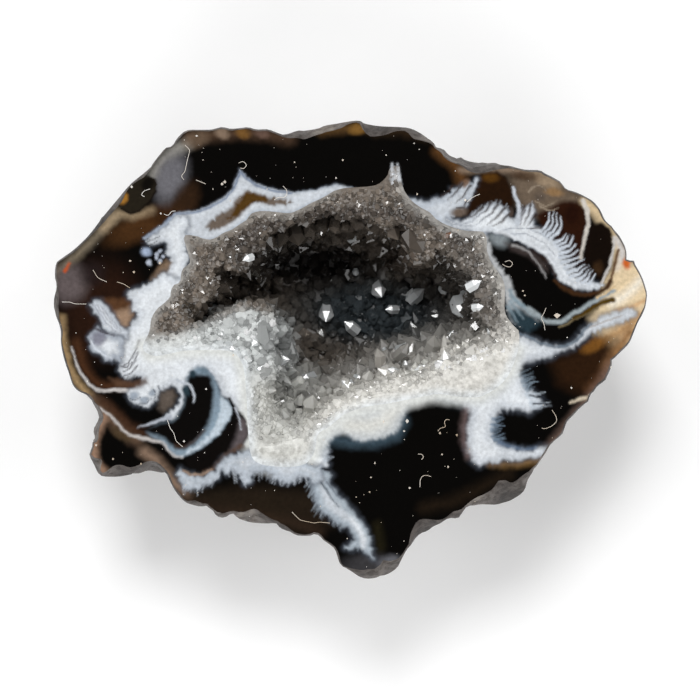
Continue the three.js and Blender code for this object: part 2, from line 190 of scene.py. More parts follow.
# Where the flat rim of the crust drops into the hollow
MOUTH = [
    (190, 322), (197, 305), (205, 298), (213, 290), (214, 282), (211, 271), (217, 266), (224, 262),
    (233, 269), (246, 265), (248, 253), (260, 251), (262, 240), (270, 230), (281, 224), (298, 219.5),
    (312, 217), (322, 210), (335, 212), (345, 216), (360, 214), (372, 218), (385, 225), (396, 221),
    (408, 225), (415, 232), (413, 245), (415, 258), (430, 255), (437, 246), (447, 252), (458, 258),
    (468, 270), (476, 282), (482, 296), (480, 312), (490, 324), (497, 334), (488, 342), (470, 350),
    (455, 358), (440, 366), (425, 374), (405, 380), (385, 383), (365, 390), (350, 397), (335, 405),
    (322, 418), (308, 428), (292, 430), (275, 426), (264, 412), (262, 396), (266, 380), (272, 370),
    (270, 352), (272, 340), (270, 322), (266, 308), (250, 304), (232, 311), (215, 318), (200, 326),
]

# Colours of the banding
WHITE = (199, 204, 210)
SOFT_WHITE = (172, 180, 190)
BRIGHT = (222, 226, 230)
CREAM = (214, 214, 209)
BLUE_GREY = (122, 134, 154)
TEAL = (40, 56, 64)
BLACK = (4, 3, 2)
BROWN = (60, 38, 18)
RED_BROWN = (40, 18, 7)
MAUVE = (92, 84, 86)
VEIL = (74, 80, 90)
PALE_QUARTZ = (216, 218, 215)

# Where the pale agate runs into the pale crust without a line between them
PALE_SEAM = [
    (144, 345), (150, 355), (168, 354), (182, 351), (212, 350), (228, 351), (238, 356), (244, 370),
    (247, 405), (248, 430), (251, 455), (258, 463), (270, 466), (290, 467), (305, 464), (313, 455),
    (316, 445), (318, 434), (330, 426), (345, 414), (365, 407), (385, 404), (405, 400), (425, 396),
    (440, 394), (462, 397), (482, 396), (500, 385), (510, 372), (518, 350),
]

# White barbs of the fern, and dark gaps in its body
FERN_BARBS = [
    [(541, 232), (546, 227), (549, 220), (549, 213)], [(544, 234), (550, 228), (553, 221), (553.5, 212)],
    [(547, 236), (553, 231), (557, 224), (557, 214)], [(550, 238), (557, 233), (561, 226), (560.5, 216)],
    [(556, 242), (562, 239), (566.5, 234)], [(558, 245), (565, 242), (569, 235)],
    [(560, 248), (569, 245), (572.5, 236)], [(560, 253), (569, 250), (575, 244)],
    [(560, 257), (571, 255), (578, 250)], [(562, 262), (573, 259), (581, 255)],
    [(565, 268), (575, 264), (583, 259)], [(567, 272), (578, 270), (585, 265)],
    [(570, 277), (578, 276), (588, 266)], [(578, 281), (585, 276), (590, 269)],
    [(583, 283), (588, 279), (592, 271)], [(588, 284), (592, 280), (595, 275)],
]
FERN_GAPS = [
    [(482, 207), (476, 214), (466, 219)], [(491, 204), (484, 212), (474, 219)],
    [(498, 205), (491, 214), (480, 222)], [(504, 208), (497, 217), (487, 224)],
    [(509, 214), (502, 221), (492, 226)], [(524, 207), (521, 216), (518, 224)],
    [(531, 206), (528, 216), (523, 225)], [(535, 214), (531, 221), (526, 227)],
    [(541, 228), (534, 228), (526, 229)], [(452, 186), (446, 193), (438, 199)],
    [(463, 184), (456, 192), (447, 200)], [(471, 186), (464, 195), (455, 203)],
    [(548, 262), (540, 254), (528, 248)], [(556, 276), (550, 266), (540, 257)],
]

# Crystals that stand out: x, y, width, where the tip points (0 right, 90 up), rise
BIG_CRYSTALS = [
    (246, 322, 22, 20, 0.9), (262, 313, 24, 10, 0.7), (272, 328, 18, -10, 0.6), (283, 328, 14, 60, 0.8),
    (258, 338, 18, 40, 1.2), (270, 345, 16, 0, 0.8), (274, 358, 16, -20, 1.0), (262, 362, 14, 10, 1.2),
    (248, 352, 12, 90, 1.5), (236, 336, 14, 120, 1.6), (228, 326, 12, 60, 1.4), (218, 322, 10, 90, 1.2),
    (208, 290, 14, -80, 0.9), (212, 278, 12, -60, 0.8), (200, 308, 14, -40, 1.0), (190, 300, 10, 200, 0.8),
    (222, 258, 12, -90, 0.8), (233, 254, 14, -70, 0.9), (246, 256, 14, -80, 0.7), (256, 258, 15, -50, 0.6),
    (268, 240, 15, -70, 0.8), (282, 236, 17, -90, 0.8), (296, 236, 20, -80, 0.6), (309, 230, 15, -100, 0.8),
    (320, 228, 17, -85, 0.6), (334, 228, 14, -95, 0.7), (346, 226, 14, -80, 0.8), (358, 224, 14, -95, 0.7),
    (371, 226, 14, -85, 0.8), (383, 226, 14, -100, 0.8), (394, 230, 18, -80, 0.6), (406, 238, 14, -70, 0.7),
    (418, 248, 20, -85, 0.6), (428, 244, 14, -60, 0.8), (438, 250, 12, -90, 0.9), (347, 385, 18, 70, 1.0),
    (310, 402, 20, 80, 0.8), (330, 392, 13, 60, 1.1), (368, 378, 13, 80, 1.2), (392, 372, 14, 90, 1.1),
    (412, 368, 12, 70, 1.1), (432, 360, 12, 100, 1.1), (290, 408, 13, 70, 1.1), (322, 414, 12, 60, 1.2),
    (360, 392, 12, 100, 1.2), (452, 352, 12, 90, 1.1), (474, 344, 12, 100, 1.0), (405, 350, 14, 60, 1.0),
    (436, 340, 16, 80, 0.9), (380, 355, 13, 100, 0.9), (300, 380, 12, 60, 1.0), (222, 322, 13, 20, 0.4),
    (238, 314, 16, 50, 0.4), (256, 312, 18, 10, 0.35), (271, 322, 16, 330, 0.4), (247, 331, 15, 160, 0.5),
    (264, 340, 14, 300, 0.5), (276, 352, 14, 20, 0.5), (255, 356, 12, 90, 0.5), (286, 346, 12, 0, 0.4),
    (266, 372, 12, 40, 0.5), (300, 398, 13, 80, 0.5), (322, 392, 12, 120, 0.5), (345, 381, 13, 60, 0.5),
    (366, 374, 12, 100, 0.4), (392, 368, 12, 30, 0.5), (420, 362, 13, 80, 0.5), (446, 358, 11, 120, 0.5),
    (470, 352, 12, 60, 0.5), (284, 416, 12, 90, 0.5), (268, 428, 11, 30, 0.5),
]

# Crystals with a face turned to the light, also painted near white as a painted glint: x, y, width of the
# bright face
GLINTS = [
    (380.5, 289, 11), (414, 289.5, 7), (422, 290, 10), (391, 307, 7), (325, 314, 11), (348.6, 323, 9),
    (356, 270, 4.5), (403.5, 348, 11), (409, 354, 7), (406.7, 363.5, 6), (422.6, 367, 6), (303, 379.5, 9),
    (281, 358, 12), (289, 361, 9), (286, 367, 7), (386, 352, 4), (463.6, 309, 13), (448, 289, 6),
    (468, 290, 6), (476.6, 282, 8), (480, 306, 6), (454, 333.6, 7), (254, 343, 6), (260, 368, 5),
    (231, 253, 8), (246, 258, 6), (202, 309, 9), (336, 235, 6), (355, 232, 6), (381, 229, 5), (386, 229, 5),
    (421, 260, 8), (347, 384, 10), (309, 396, 7), (392, 370, 6), (440, 362, 5), (272, 352, 7),
    (262, 330, 6), (244, 344, 5), (433, 344, 5), (360, 378, 5), (490, 330, 5),
]

# How much the crystals of the wall, the rim, the big ones and the glinting ones differ in lightness
CRYSTAL_TONES = [(0.7, 1.4), (0.5, 1.6), (0.4, 1.7), (1.0, 1.0)]

# Fibres of lint, and specks: x, y, size
FIBRES = [
    [(185, 145), (190, 150), (187, 162), (185, 172), (181, 176), (184, 180)],
    [(167.5, 420), (170, 428), (174, 433), (176, 441), (183, 447)],
    [(552, 410), (556, 416), (557, 421), (552, 426), (545, 429), (541, 428)],
    [(438, 431), (440, 428), (446, 427), (444, 422), (446, 419), (450, 420)],
    [(420, 487), (420, 480), (422, 476), (426, 475), (431, 476.5)],
    [(292, 512), (300, 520), (314, 523), (320, 522), (330, 523)],
    [(62, 302), (70, 302), (75, 304), (87, 304)],
    [(93, 270), (98, 278), (107, 282)],
    [(117, 282), (124, 284), (130, 288)],
    [(467, 202), (473, 197), (480, 194)],
    [(505, 262), (509, 260), (513, 263), (511, 267), (507, 267), (502, 264)],
    [(239, 163), (243, 161), (247, 165), (244, 169), (240, 168)],
    [(546, 308), (544, 313), (541, 318), (544, 324), (545, 330)],
    [(418, 454), (422, 454), (424, 457), (421, 460)],
    [(283, 186), (287, 190), (287, 195), (284, 198), (279, 197), (274, 200)],
    [(164, 214), (168, 216), (172, 211), (176, 211)],
    [(196, 180), (201, 182), (206, 184)],
    [(150, 189), (144, 191), (141, 195), (145, 197)],
]
SPECKS = [
    (407, 421, 2.2), (404, 431, 1.3), (375, 463, 1.2), (557, 315, 3.2), (225, 182, 2.2), (222, 184, 1.8),
    (343, 160, 1.2), (336, 178, 1.0), (130, 261, 1.3), (134, 272, 1.2), (417, 194, 1.2), (131.5, 187, 1.6),
    (161, 213.5, 1.2), (160, 263, 1.6), (206, 389, 1.3), (525, 295.5, 1.2), (523, 291, 1.0),
    (448, 467, 1.3), (457, 435, 1.4), (96, 445, 1.4), (113, 459, 1.4), (141, 464, 1.3), (440, 433, 1.3),
    (458, 230, 1.0), (213, 189, 0.9),
]


# Small tools


def to_mm(pixels):
    """Places on the photograph, as millimetres in the stone's frame."""
    pixels = np.asarray(pixels, float)
    return np.stack([pixels[:, 0] - PHOTO_MIDDLE, PHOTO_MIDDLE - pixels[:, 1]], axis=1) / PX_PER_MM


def to_pixels(places):
    """Places in the stone's frame, as pixels of the photograph."""
    return np.stack([PHOTO_MIDDLE + places[:, 0] * PX_PER_MM, PHOTO_MIDDLE - places[:, 1] * PX_PER_MM],
                    axis=1)


def linear(red, green, blue):
    """A colour as seen on screen, 0 to 255, as the light value that a shader wants."""
    seen = np.array([red, green, blue]) / 255.0
    return np.where(seen <= 0.04045, seen / 12.92, ((seen + 0.055) / 1.055) ** 2.4)


def smoothstep(low, high, value):
    share = np.clip((value - low) / (high - low), 0.0, 1.0)
    return share * share * (3.0 - 2.0 * share)


def chance(seed):
    """The same repeatable number from 0 to 1 that shapes the solid."""
    wave = np.sin(seed * 12.9898 + 4.1414) * 43758.5453
    return wave - np.floor(wave)


def pick(span, share):
    return span[0] + (span[1] - span[0]) * share


def lattice(x, y, z, seed):
    """A random number from -1 to 1 at each whole-number place."""
    mixed = (x * 374761393 + y * 668265263 + z * 1440662683 + seed * 974634877) & 0xFFFFFFFF
    mixed = ((mixed ^ (mixed >> 13)) * 1274126177) & 0xFFFFFFFF
    return (mixed ^ (mixed >> 16)) / 2147483648.0 - 1.0


def noise(places, size, seed=0):
    """Smooth random relief from -1 to 1 with features about one size apart."""
    places = np.asarray(places, float) / size
    if places.shape[1] == 2:
        places = np.column_stack([places, np.zeros(len(places))])
    cell = np.floor(places).astype(np.int64)
    part = places - cell
    part = part * part * (3.0 - 2.0 * part)
    total = np.zeros(len(places))
    for dx in (0, 1):
        for dy in (0, 1):
            for dz in (0, 1):
                share = (np.abs(1 - dx - part[:, 0]) * np.abs(1 - dy - part[:, 1])
                         * np.abs(1 - dz - part[:, 2]))
                total += share * lattice(cell[:, 0] + dx, cell[:, 1] + dy, cell[:, 2] + dz, seed)
    return total


def resample(points, step):
    """Even steps along a closed smooth curve through the points."""
    points = np.asarray(points, float)
    before, after, beyond = (np.roll(points, shift, axis=0) for shift in (1, -1, -2))
    curve = []
    for share in np.linspace(0, 1, 12, endpoint=False):
        curve.append(0.5 * (2 * points + (after - before) * share
                            + (2 * before - 5 * points + 4 * after - beyond) * share ** 2
                            + (3 * points - before - 3 * after + beyond) * share ** 3))
    fine = np.stack(curve, axis=1).reshape(-1, 2)
    closed = np.vstack([fine, fine[:1]])
    along = np.concatenate([[0], np.cumsum(np.linalg.norm(np.diff(closed, axis=0), axis=1))])
    count = int(round(along[-1] / step))
    stops = np.linspace(0, along[-1], count, endpoint=False)
    return np.stack([np.interp(stops, along, closed[:, axis]) for axis in (0, 1)], axis=1)


def smooth_loop(loop, passes):
    for _ in range(passes):
        loop = (2 * loop + np.roll(loop, 1, axis=0) + np.roll(loop, -1, axis=0)) / 4
    return loop


def outward(loop):
    """Unit vectors out of a clockwise loop."""
    along = np.roll(loop, -1, axis=0) - np.roll(loop, 1, axis=0)
    along /= np.linalg.norm(along, axis=1, keepdims=True)
    return np.stack([-along[:, 1], along[:, 0]], axis=1)


def inside(places, loop):
    """True for each place inside a closed loop."""
    x, y = places[:, 0], places[:, 1]
    result = np.zeros(len(places), bool)
    for (x0, y0), (x1, y1) in zip(loop, np.roll(loop, -1, axis=0)):
        if y0 != y1:
            result ^= ((y0 > y) != (y1 > y)) & (x < (x1 - x0) * (y - y0) / (y1 - y0) + x0)
    return result


def line_field(places, points, reach=60.0):
    """Distance from each place to a line of points, and how far along the line that is, from 0 to 1."""
    points = np.asarray(points, float)
    steps = np.linalg.norm(np.diff(points, axis=0), axis=1)
    starts = np.concatenate([[0], np.cumsum(steps)])
    low, high = points.min(axis=0) - reach, points.max(axis=0) + reach
    near = np.all((places >= low) & (places <= high), axis=1)
    close = places[near]
    best = np.full(len(close), FAR)
    share = np.zeros(len(close))
    for i, length in enumerate(steps):
        way = (points[i + 1] - points[i]) / length
        offset = close - points[i]
        along = np.clip(offset @ way, 0, length)
        gap = np.linalg.norm(offset - along[:, None] * way, axis=1)
        better = gap < best
        best[better] = gap[better]
        share[better] = (starts[i] + along[better]) / starts[-1]
    distance = np.full(len(places), FAR)
    distance[near] = best
    position = np.zeros(len(places))
    position[near] = share
    return distance, position


# Painting of the cut face


class Painter:
    """Colour on places of the photograph, laid on in soft-edged areas, strokes and blobs."""

    def __init__(self, places, ground):
        wobble = [noise(places, 7.0, seed) * 0.9 + noise(places, 2.6, seed + 1) * 0.5 for seed in (11, 21)]
        self.places = places + np.stack(wobble, axis=1)
        self.colour = np.tile(linear(*ground), (len(places), 1))
        self.chance = np.random.default_rng(7)

    def cover(self, share, colour, strength=1.0):
        share = (share * strength)[:, None]
        self.colour += share * (linear(*colour) - self.colour)

    def depth(self, points, reach, fray, grain):
        """How deep each place lies inside a closed outline. Fray draws the edge out into fibres."""
        points = np.asarray(points, float)
        closed = np.vstack([points, points[:1]])
        distance, along = line_field(self.places, closed, reach + 2 * fray)
        near = distance < FAR
        depth = np.full(len(distance), -FAR)
        depth[near] = np.where(inside(self.places[near], points), distance[near], -distance[near])
        if fray:
            length = np.linalg.norm(np.diff(closed, axis=0), axis=1).sum()
            across = np.column_stack([along[near] * length / grain, depth[near] / (grain * 5)])
            depth[near] += fray * noise(across, 1.0, len(points))
        return depth

    def area(self, points, colour, soft=1.5, fray=0.0, strength=1.0):
        """Fills a closed outline."""
        depth = self.depth(points, 2 * soft + 2, fray, 2.4)
        self.cover(smoothstep(-soft, soft, depth), colour, strength)

    def pale(self, points, colour, soft=2.0, fray=1.2, veil=6.0, core=BRIGHT):
        """Fills a closed outline with white agate: a grey veil around it and a brighter middle."""
        depth = self.depth(points, veil + 4, fray, 3.0)
        self.cover(smoothstep(-veil, soft, depth), VEIL, 0.85)
        self.cover(smoothstep(-soft, soft, depth), colour)
        self.cover(smoothstep(soft, soft + 7, depth), core, 0.85)

    def stroke(self, points, colour, width, soft=1.0, end_width=None, strength=1.0):
        end_width = width if end_width is None else end_width
        distance, along = line_field(self.places, points, max(width, end_width) / 2 + soft + 1)
        half = 0.5 * (width + (end_width - width) * along)
        self.cover(1 - smoothstep(half - soft, half + soft, distance), colour, strength)

    def fringe(self, points, colour, length, turn, step=2.0, width=2.2):
        """Fine fibres that leave a line in one direction, in degrees up from the right."""
        for spot in open_curve(points, step):
            angle = math.radians(turn + self.chance.normal(0, 9))
            way = np.array([math.cos(angle), -math.sin(angle)])
            end = spot + way * length * self.chance.uniform(0.35, 1.3)
            strength = self.chance.uniform(0.25, 0.9)
            self.stroke([spot - way * 2, spot, end], colour, width, 1.1, 0.4, strength)

    def blob(self, x, y, wide, high, colour, turn=0.0, strength=1.0):
        angle = math.radians(turn)
        offset = self.places - (x, y)
        across = offset[:, 0] * math.cos(angle) + offset[:, 1] * math.sin(angle)
        down = offset[:, 1] * math.cos(angle) - offset[:, 0] * math.sin(angle)
        self.cover(1 - smoothstep(0.3, 1.0, np.hypot(across / wide, down / high)), colour, strength)


def paint_ground(paint):
    """Brown, amber and grey light through the thin outer layers."""
    paint.blob(100, 310, 56, 70, (40, 22, 13), 10, 0.9)
    paint.stroke([(58, 272), (78, 254), (97, 236), (114, 216)], (128, 116, 98), 5, 7)
    paint.blob(70, 284, 26, 28, (98, 88, 88), 20, 0.9)
    paint.blob(92, 274, 20, 18, (34, 26, 26), -30, 0.7)
    paint.stroke([(65, 271), (70, 263)], (182, 80, 38), 3.6, 1.8, 1.5)
    paint.blob(142, 226, 54, 20, (68, 43, 21), -24)
    paint.blob(166, 212, 24, 16, (48, 28, 12), -30, 0.8)
    paint.stroke([(104, 228), (118, 214), (134, 216), (152, 210)], (160, 140, 112), 6, 7, 2)
    paint.stroke([(154, 176), (164, 160), (176, 150), (188, 144)], (150, 147, 140), 8, 7)
    paint.blob(171, 178, 22, 36, (106, 105, 110), 20)
    paint.blob(186, 200, 18, 28, (52, 34, 20), 20, 0.8)
    paint.stroke([(190, 137), (214, 135), (240, 133), (268, 135), (290, 139)], (84, 63, 48), 5, 10)
    paint.blob(196, 140, 20, 12, (104, 86, 70), -20, 0.8)
    for x, colour in ((222, (140, 120, 102)), (243, (124, 88, 42)), (262, (104, 82, 72))):
        paint.blob(x, 133, 11, 8, colour, 15, 0.7)
    paint.stroke([(322, 132), (344, 128), (368, 128)], (96, 70, 40), 4, 8)
    paint.blob(357, 129, 12, 8, (132, 96, 44), 0, 0.7)
    paint.stroke([(376, 132), (400, 131), (426, 137)], (50, 36, 22), 4, 8)
    paint.stroke([(438, 152), (456, 166), (462, 182)], (96, 64, 34), 7, 8)
    paint.stroke([(462, 170), (486, 169), (512, 170), (536, 174)], (142, 122, 104), 5, 5)
    paint.area([(510, 178), (540, 172), (562, 184), (588, 199), (574, 206), (548, 216), (532, 216),
                (518, 204)], (104, 90, 76), 9)
    paint.blob(545, 179, 24, 10, (158, 138, 114), 25, 0.8)
    paint.blob(526, 176, 22, 7, (62, 42, 26), 8, 0.7)
    paint.blob(554, 192, 14, 6, (150, 116, 76), 10, 0.7)
    paint.stroke([(586, 202), (598, 214), (610, 232), (618, 250), (618, 272), (606, 292)],
                 (204, 182, 146), 9, 5, 14)
    paint.stroke([(617, 240), (622, 252), (618, 270)], (202, 198, 196), 6, 4)
    paint.area([(604, 300), (612, 278), (620, 264), (640, 262), (652, 292), (644, 322), (630, 344),
                (612, 344), (594, 334), (590, 318)], (222, 200, 164), 7)
    paint.stroke([(642, 280), (628, 294), (612, 304)], (236, 228, 212), 8, 6)
    paint.stroke([(646, 300), (630, 308), (616, 311)], (206, 164, 118), 3, 3)
    paint.stroke([(640, 318), (622, 330), (606, 340)], (188, 150, 106), 12, 7)
    paint.stroke([(630, 332), (616, 350), (606, 366)], (150, 112, 74), 10, 6)
    paint.area([(552, 362), (576, 350), (598, 336), (614, 340), (606, 360), (604, 378), (586, 396),
                (560, 384)], (42, 24, 10), 11)
    paint.blob(594, 345, 20, 9, (122, 80, 32), -28, 0.85)
    paint.stroke([(610, 358), (602, 376), (590, 390)], (92, 62, 40), 6, 8)
    paint.blob(626, 264, 6, 8, (196, 96, 40), -20)
    paint.stroke([(612, 366), (602, 384), (588, 402), (574, 418), (560, 436), (546, 452)],
                 (122, 100, 90), 6, 8)
    paint.stroke([(586, 398), (578, 400), (570, 403)], (208, 194, 172), 3.4, 1.8, 2)
    paint.stroke([(490, 464), (512, 465), (540, 460)], (136, 104, 62), 4, 6)
    paint.stroke([(424, 508), (452, 502), (480, 488), (508, 474)], (32, 23, 14), 8, 9)
    paint.stroke([(378, 526), (380, 548)], (32, 28, 14), 6, 7)
    paint.blob(370, 566, 40, 18, (54, 53, 55), 0)
    paint.blob(389, 563, 17, 11, (92, 93, 98), -10)
    paint.stroke([(62, 318), (63, 340), (68, 364), (77, 383), (89, 396)], (158, 132, 96), 6, 5)
    paint.stroke([(92, 398), (102, 408), (116, 424), (136, 440)], (104, 82, 66), 8, 8)
    paint.stroke([(104, 418), (97, 432), (93, 446), (96, 462), (104, 472)], (150, 120, 100), 7, 5)
    paint.blob(122, 434, 16, 8, (72, 58, 40), 30, 0.8)
    paint.stroke([(144, 452), (156, 460), (170, 478), (186, 494)], (140, 116, 98), 8, 7)
    paint.area([(186, 494), (250, 486), (312, 492), (332, 526), (300, 532), (230, 514)], (33, 25, 17), 10)
    paint.stroke([(178, 498), (214, 508), (250, 514), (290, 522), (320, 532)], (46, 34, 25), 6, 8)


def paint_eye(paint):
    """Small round eye near the upper left rim."""
    rim = [(118, 203), (119, 198), (124, 191), (131, 184), (140, 178), (149, 176), (155, 178), (157, 184),
           (156, 190), (152, 197), (146, 204), (138, 210), (130, 213), (124, 211), (120, 207)]
    paint.area(rim, (34, 29, 21), 0.9)
    paint.blob(148, 184, 12, 9, (12, 9, 6), -40)
    paint.blob(124, 199, 6, 8, (158, 110, 44), 20)
    paint.stroke([(121, 209), (130, 213), (139, 210), (150, 201), (156, 191)], (20, 14, 9), 2.0, 1.0)


def paint_upper_band(paint):
    """White band above the hollow, with its brown core."""
    edge = [(143, 238), (152, 232), (160, 226), (168, 220), (175, 213), (190, 211.5), (200, 209.5),
            (210, 205.5), (218, 201), (225, 197), (231, 190), (235, 183), (237, 177), (240, 170), (245, 176),
            (250, 180), (256, 184), (264, 186.5), (275, 189), (290, 192), (300, 192.3), (310, 191),
            (320, 188.5), (328, 186), (334, 184.5), (342, 185.5), (354, 188)]
    inner = [(345, 191), (335, 194), (328, 198), (320, 202), (312, 206), (303, 211), (297, 214), (290, 216),
             (272, 214.5), (255, 215), (250, 218), (247, 223), (240, 227), (224, 236), (210, 243),
             (190, 240), (180, 236)]
    paint.pale(edge + inner + [(166, 238), (158, 240), (148, 242)], SOFT_WHITE, 1.4, 0.6, 3.0, WHITE)
    paint.area([(205, 226), (216, 218), (226, 211), (234, 203), (240, 195), (245, 190.5), (251, 190),
                (258, 193), (268, 195.5), (280, 199), (294, 203), (284, 206), (268, 205.5), (258, 203),
                (252, 205), (246, 211), (240, 218), (232, 223), (224, 229), (214, 231.5)],
               (106, 94, 84), 2.6, 2.0)
    paint.area([(228, 218), (235, 207), (243, 197), (250, 191.5), (258, 194.5), (268, 198.5), (262, 203),
                (254, 203), (247, 208), (240, 215)], (78, 54, 22), 2.2, 1.6)
    paint.stroke([(180, 217), (192, 216.5), (204, 213.5), (214, 209), (222, 204), (230, 198), (236, 190),
                  (240, 181), (243, 181), (250, 185.5), (262, 190), (278, 193.5), (296, 196.5), (312, 194.5),
                  (328, 190), (344, 187.5)], WHITE, 8, 2.4, 4)
    paint.stroke([(178, 225), (190, 229), (200, 233), (208, 236), (216, 234.5), (223, 230.5), (231, 226),
                  (238, 221.5), (244, 215), (249, 210), (254, 206), (260, 205), (270, 207), (282, 208.5),
                  (294, 207.5), (306, 202.5), (318, 197.5)], WHITE, 5.5, 2.2, 3)
    paint.stroke([(166, 221.5), (175, 214), (190, 213), (201, 211), (211, 207), (219, 202.5), (226, 198.5),
                  (232, 191), (236, 184), (238, 177), (240, 172), (245, 178), (251, 182), (257, 186),
                  (275, 191), (291, 193.5)], BLUE_GREY, 2.2, 1.2)
    paint.pale([(146, 240), (156, 234), (166, 226), (176, 217), (186, 217), (188, 226), (184, 234),
                (186, 246), (189, 258), (187, 266), (184, 274), (183, 284), (174, 289), (168, 281),
                (164, 274), (169, 266), (171, 258), (167, 252), (167, 243), (160, 241), (152, 244)],
               WHITE, 2.0, 1.6)
    paint.stroke([(143, 238.5), (152, 233), (161, 227), (169, 220.5), (175, 214.5)], (150, 160, 176), 2, 1)
    for points in ([(141, 244), (150, 240), (160, 236)], [(142, 247), (150, 244), (158, 240)],
                 [(140, 241), (148, 238)]):
        paint.stroke(points, (44, 40, 44), 1.4, 0.7, 0.6, 0.8)
    paint.blob(146.5, 252, 7.5, 7, (158, 172, 196))
    for x, y, size in [(157, 254, 3.2), (160.5, 251, 2.6), (156, 258, 2.4), (149, 263, 3.2), (160, 261, 3.2),
                       (163, 256, 2.2)]:
        paint.blob(x, y, size, size * 1.2, (178, 186, 200), 20, 0.95)
    paint.area([(150, 280), (158, 268), (166, 260), (171, 262), (168, 270), (160, 280)],
               (142, 118, 96), 3.5, strength=0.7)


def paint_left_feathers(paint):
    """White feathers and scallops left of the hollow."""
    paint.area([(102, 299), (134, 297), (134, 314), (125, 330), (116, 320), (108, 310)], (84, 56, 36), 3.5)
    paint.area([(114, 312), (132, 306), (134, 316), (125, 332), (118, 324)], (150, 124, 102), 4)
    scallop = [(72, 348), (77, 364), (82, 375), (88, 384), (95, 389), (104, 391), (115, 389.5), (124, 390.5),
               (132, 392)]
    paint.stroke([(x + 4, y - 5) for x, y in scallop], (74, 46, 28), 6, 7)
    paint.stroke(scallop, (188, 184, 182), 1.4, 1.3, 4.4)
    paint.pale([(182, 284), (176, 278), (164, 273), (157, 278), (149, 283.5), (140, 288), (133, 290),
                (127, 294), (129, 298), (134, 302), (133, 308), (132.5, 312), (139, 313), (136, 319),
                (131, 326), (124, 332), (116, 336), (108, 345), (112, 358), (119, 361), (119, 368),
                (121, 376), (125, 379.5), (130, 380), (136, 377.5), (142, 378), (140, 384), (130, 390),
                (127, 396), (131, 401), (137, 402.5), (143, 407), (149, 405.5), (156, 401), (159, 394),
                (166, 388), (172, 384), (178, 388), (181, 396), (178, 406), (170, 412), (166, 417),
                (172, 420), (178, 414), (183, 403), (185, 390), (190, 380), (198, 370), (208, 370),
                (216, 380), (222, 394), (231, 401), (238, 408), (244, 413), (248, 422), (250, 436),
                (248, 446), (254, 456), (266, 448), (262, 384), (244, 345), (196, 338), (168, 318)],
               WHITE, 2.0, 1.4)
    paint.pale([(90, 305), (94, 301), (101, 300), (105, 304.5), (110, 311), (115, 318), (120, 325),
                (126, 331), (128, 340), (118, 336), (111, 333), (105, 331), (102.5, 325), (99, 318),
                (94, 312)], (190, 196, 204), 1.8, 1.2)
    for offset in (-3.2, 0.2, 3.2):
        paint.stroke([(96 + offset, 305), (103 + offset, 314), (110 + offset, 323), (118 + offset, 331)],
                     (140, 142, 154), 1.3, 0.8, 0.8, 0.7)
    paint.pale([(97, 327), (104, 332), (112, 335), (122, 338), (124, 352), (119, 361), (113, 359.5),
                (108, 361), (103, 359), (101, 356), (96, 353), (91, 348), (89, 340), (91, 333)],
               (168, 175, 185), 2.0, 1.6)
    paint.blob(99, 339, 11, 11, (112, 112, 126), 20, 0.9)
    paint.stroke([(96, 329), (104, 333), (114, 335.5)], (62, 58, 66), 2.4, 1.2, 1.0)
    paint.stroke([(91, 341), (95, 349), (102, 354), (110, 358)], (206, 212, 220), 2.0, 1.0)
    for points in ([(139, 340), (136.5, 349), (132.5, 357), (128, 362.5), (123, 365)],
                 [(138, 353), (134.5, 362), (130, 368), (124, 371.5)],
                 [(137, 366), (131, 373), (124, 376)], [(121, 366), (127, 366.5), (132, 362)]):
        paint.stroke(points, (70, 68, 74), 1.7, 0.8, 1.2, 0.9)
    paint.fringe([(122, 379), (130, 380), (137, 377)], (14, 8, 5), 4, 70, 2.6)
    paint.area([(108, 377), (120, 380), (134, 382), (146, 378), (148, 384), (136, 388), (118, 387)],
               (86, 62, 46), 3, strength=0.8)
    for x, y, wide, high in ((134, 396, 7, 5), (144, 400, 8, 5), (152, 393, 6, 5)):
        paint.blob(x, y, wide, high, (128, 140, 154), -15, 0.8)
    for points in ([(130, 398), (135, 400), (140, 398)], [(139, 404), (146, 403), (152, 399)],
                   [(152, 388), (156, 393), (155, 400)], [(158, 386), (161, 392), (160, 398)],
                   [(163, 386), (166, 392)]):
        paint.stroke(points, (60, 66, 76), 1.3, 0.8, 0.7, 0.8)
    paint.area([(160, 396), (166, 390), (173, 389), (176, 396), (172, 406), (164, 412), (158, 408)],
               (98, 88, 80), 4, strength=0.9)


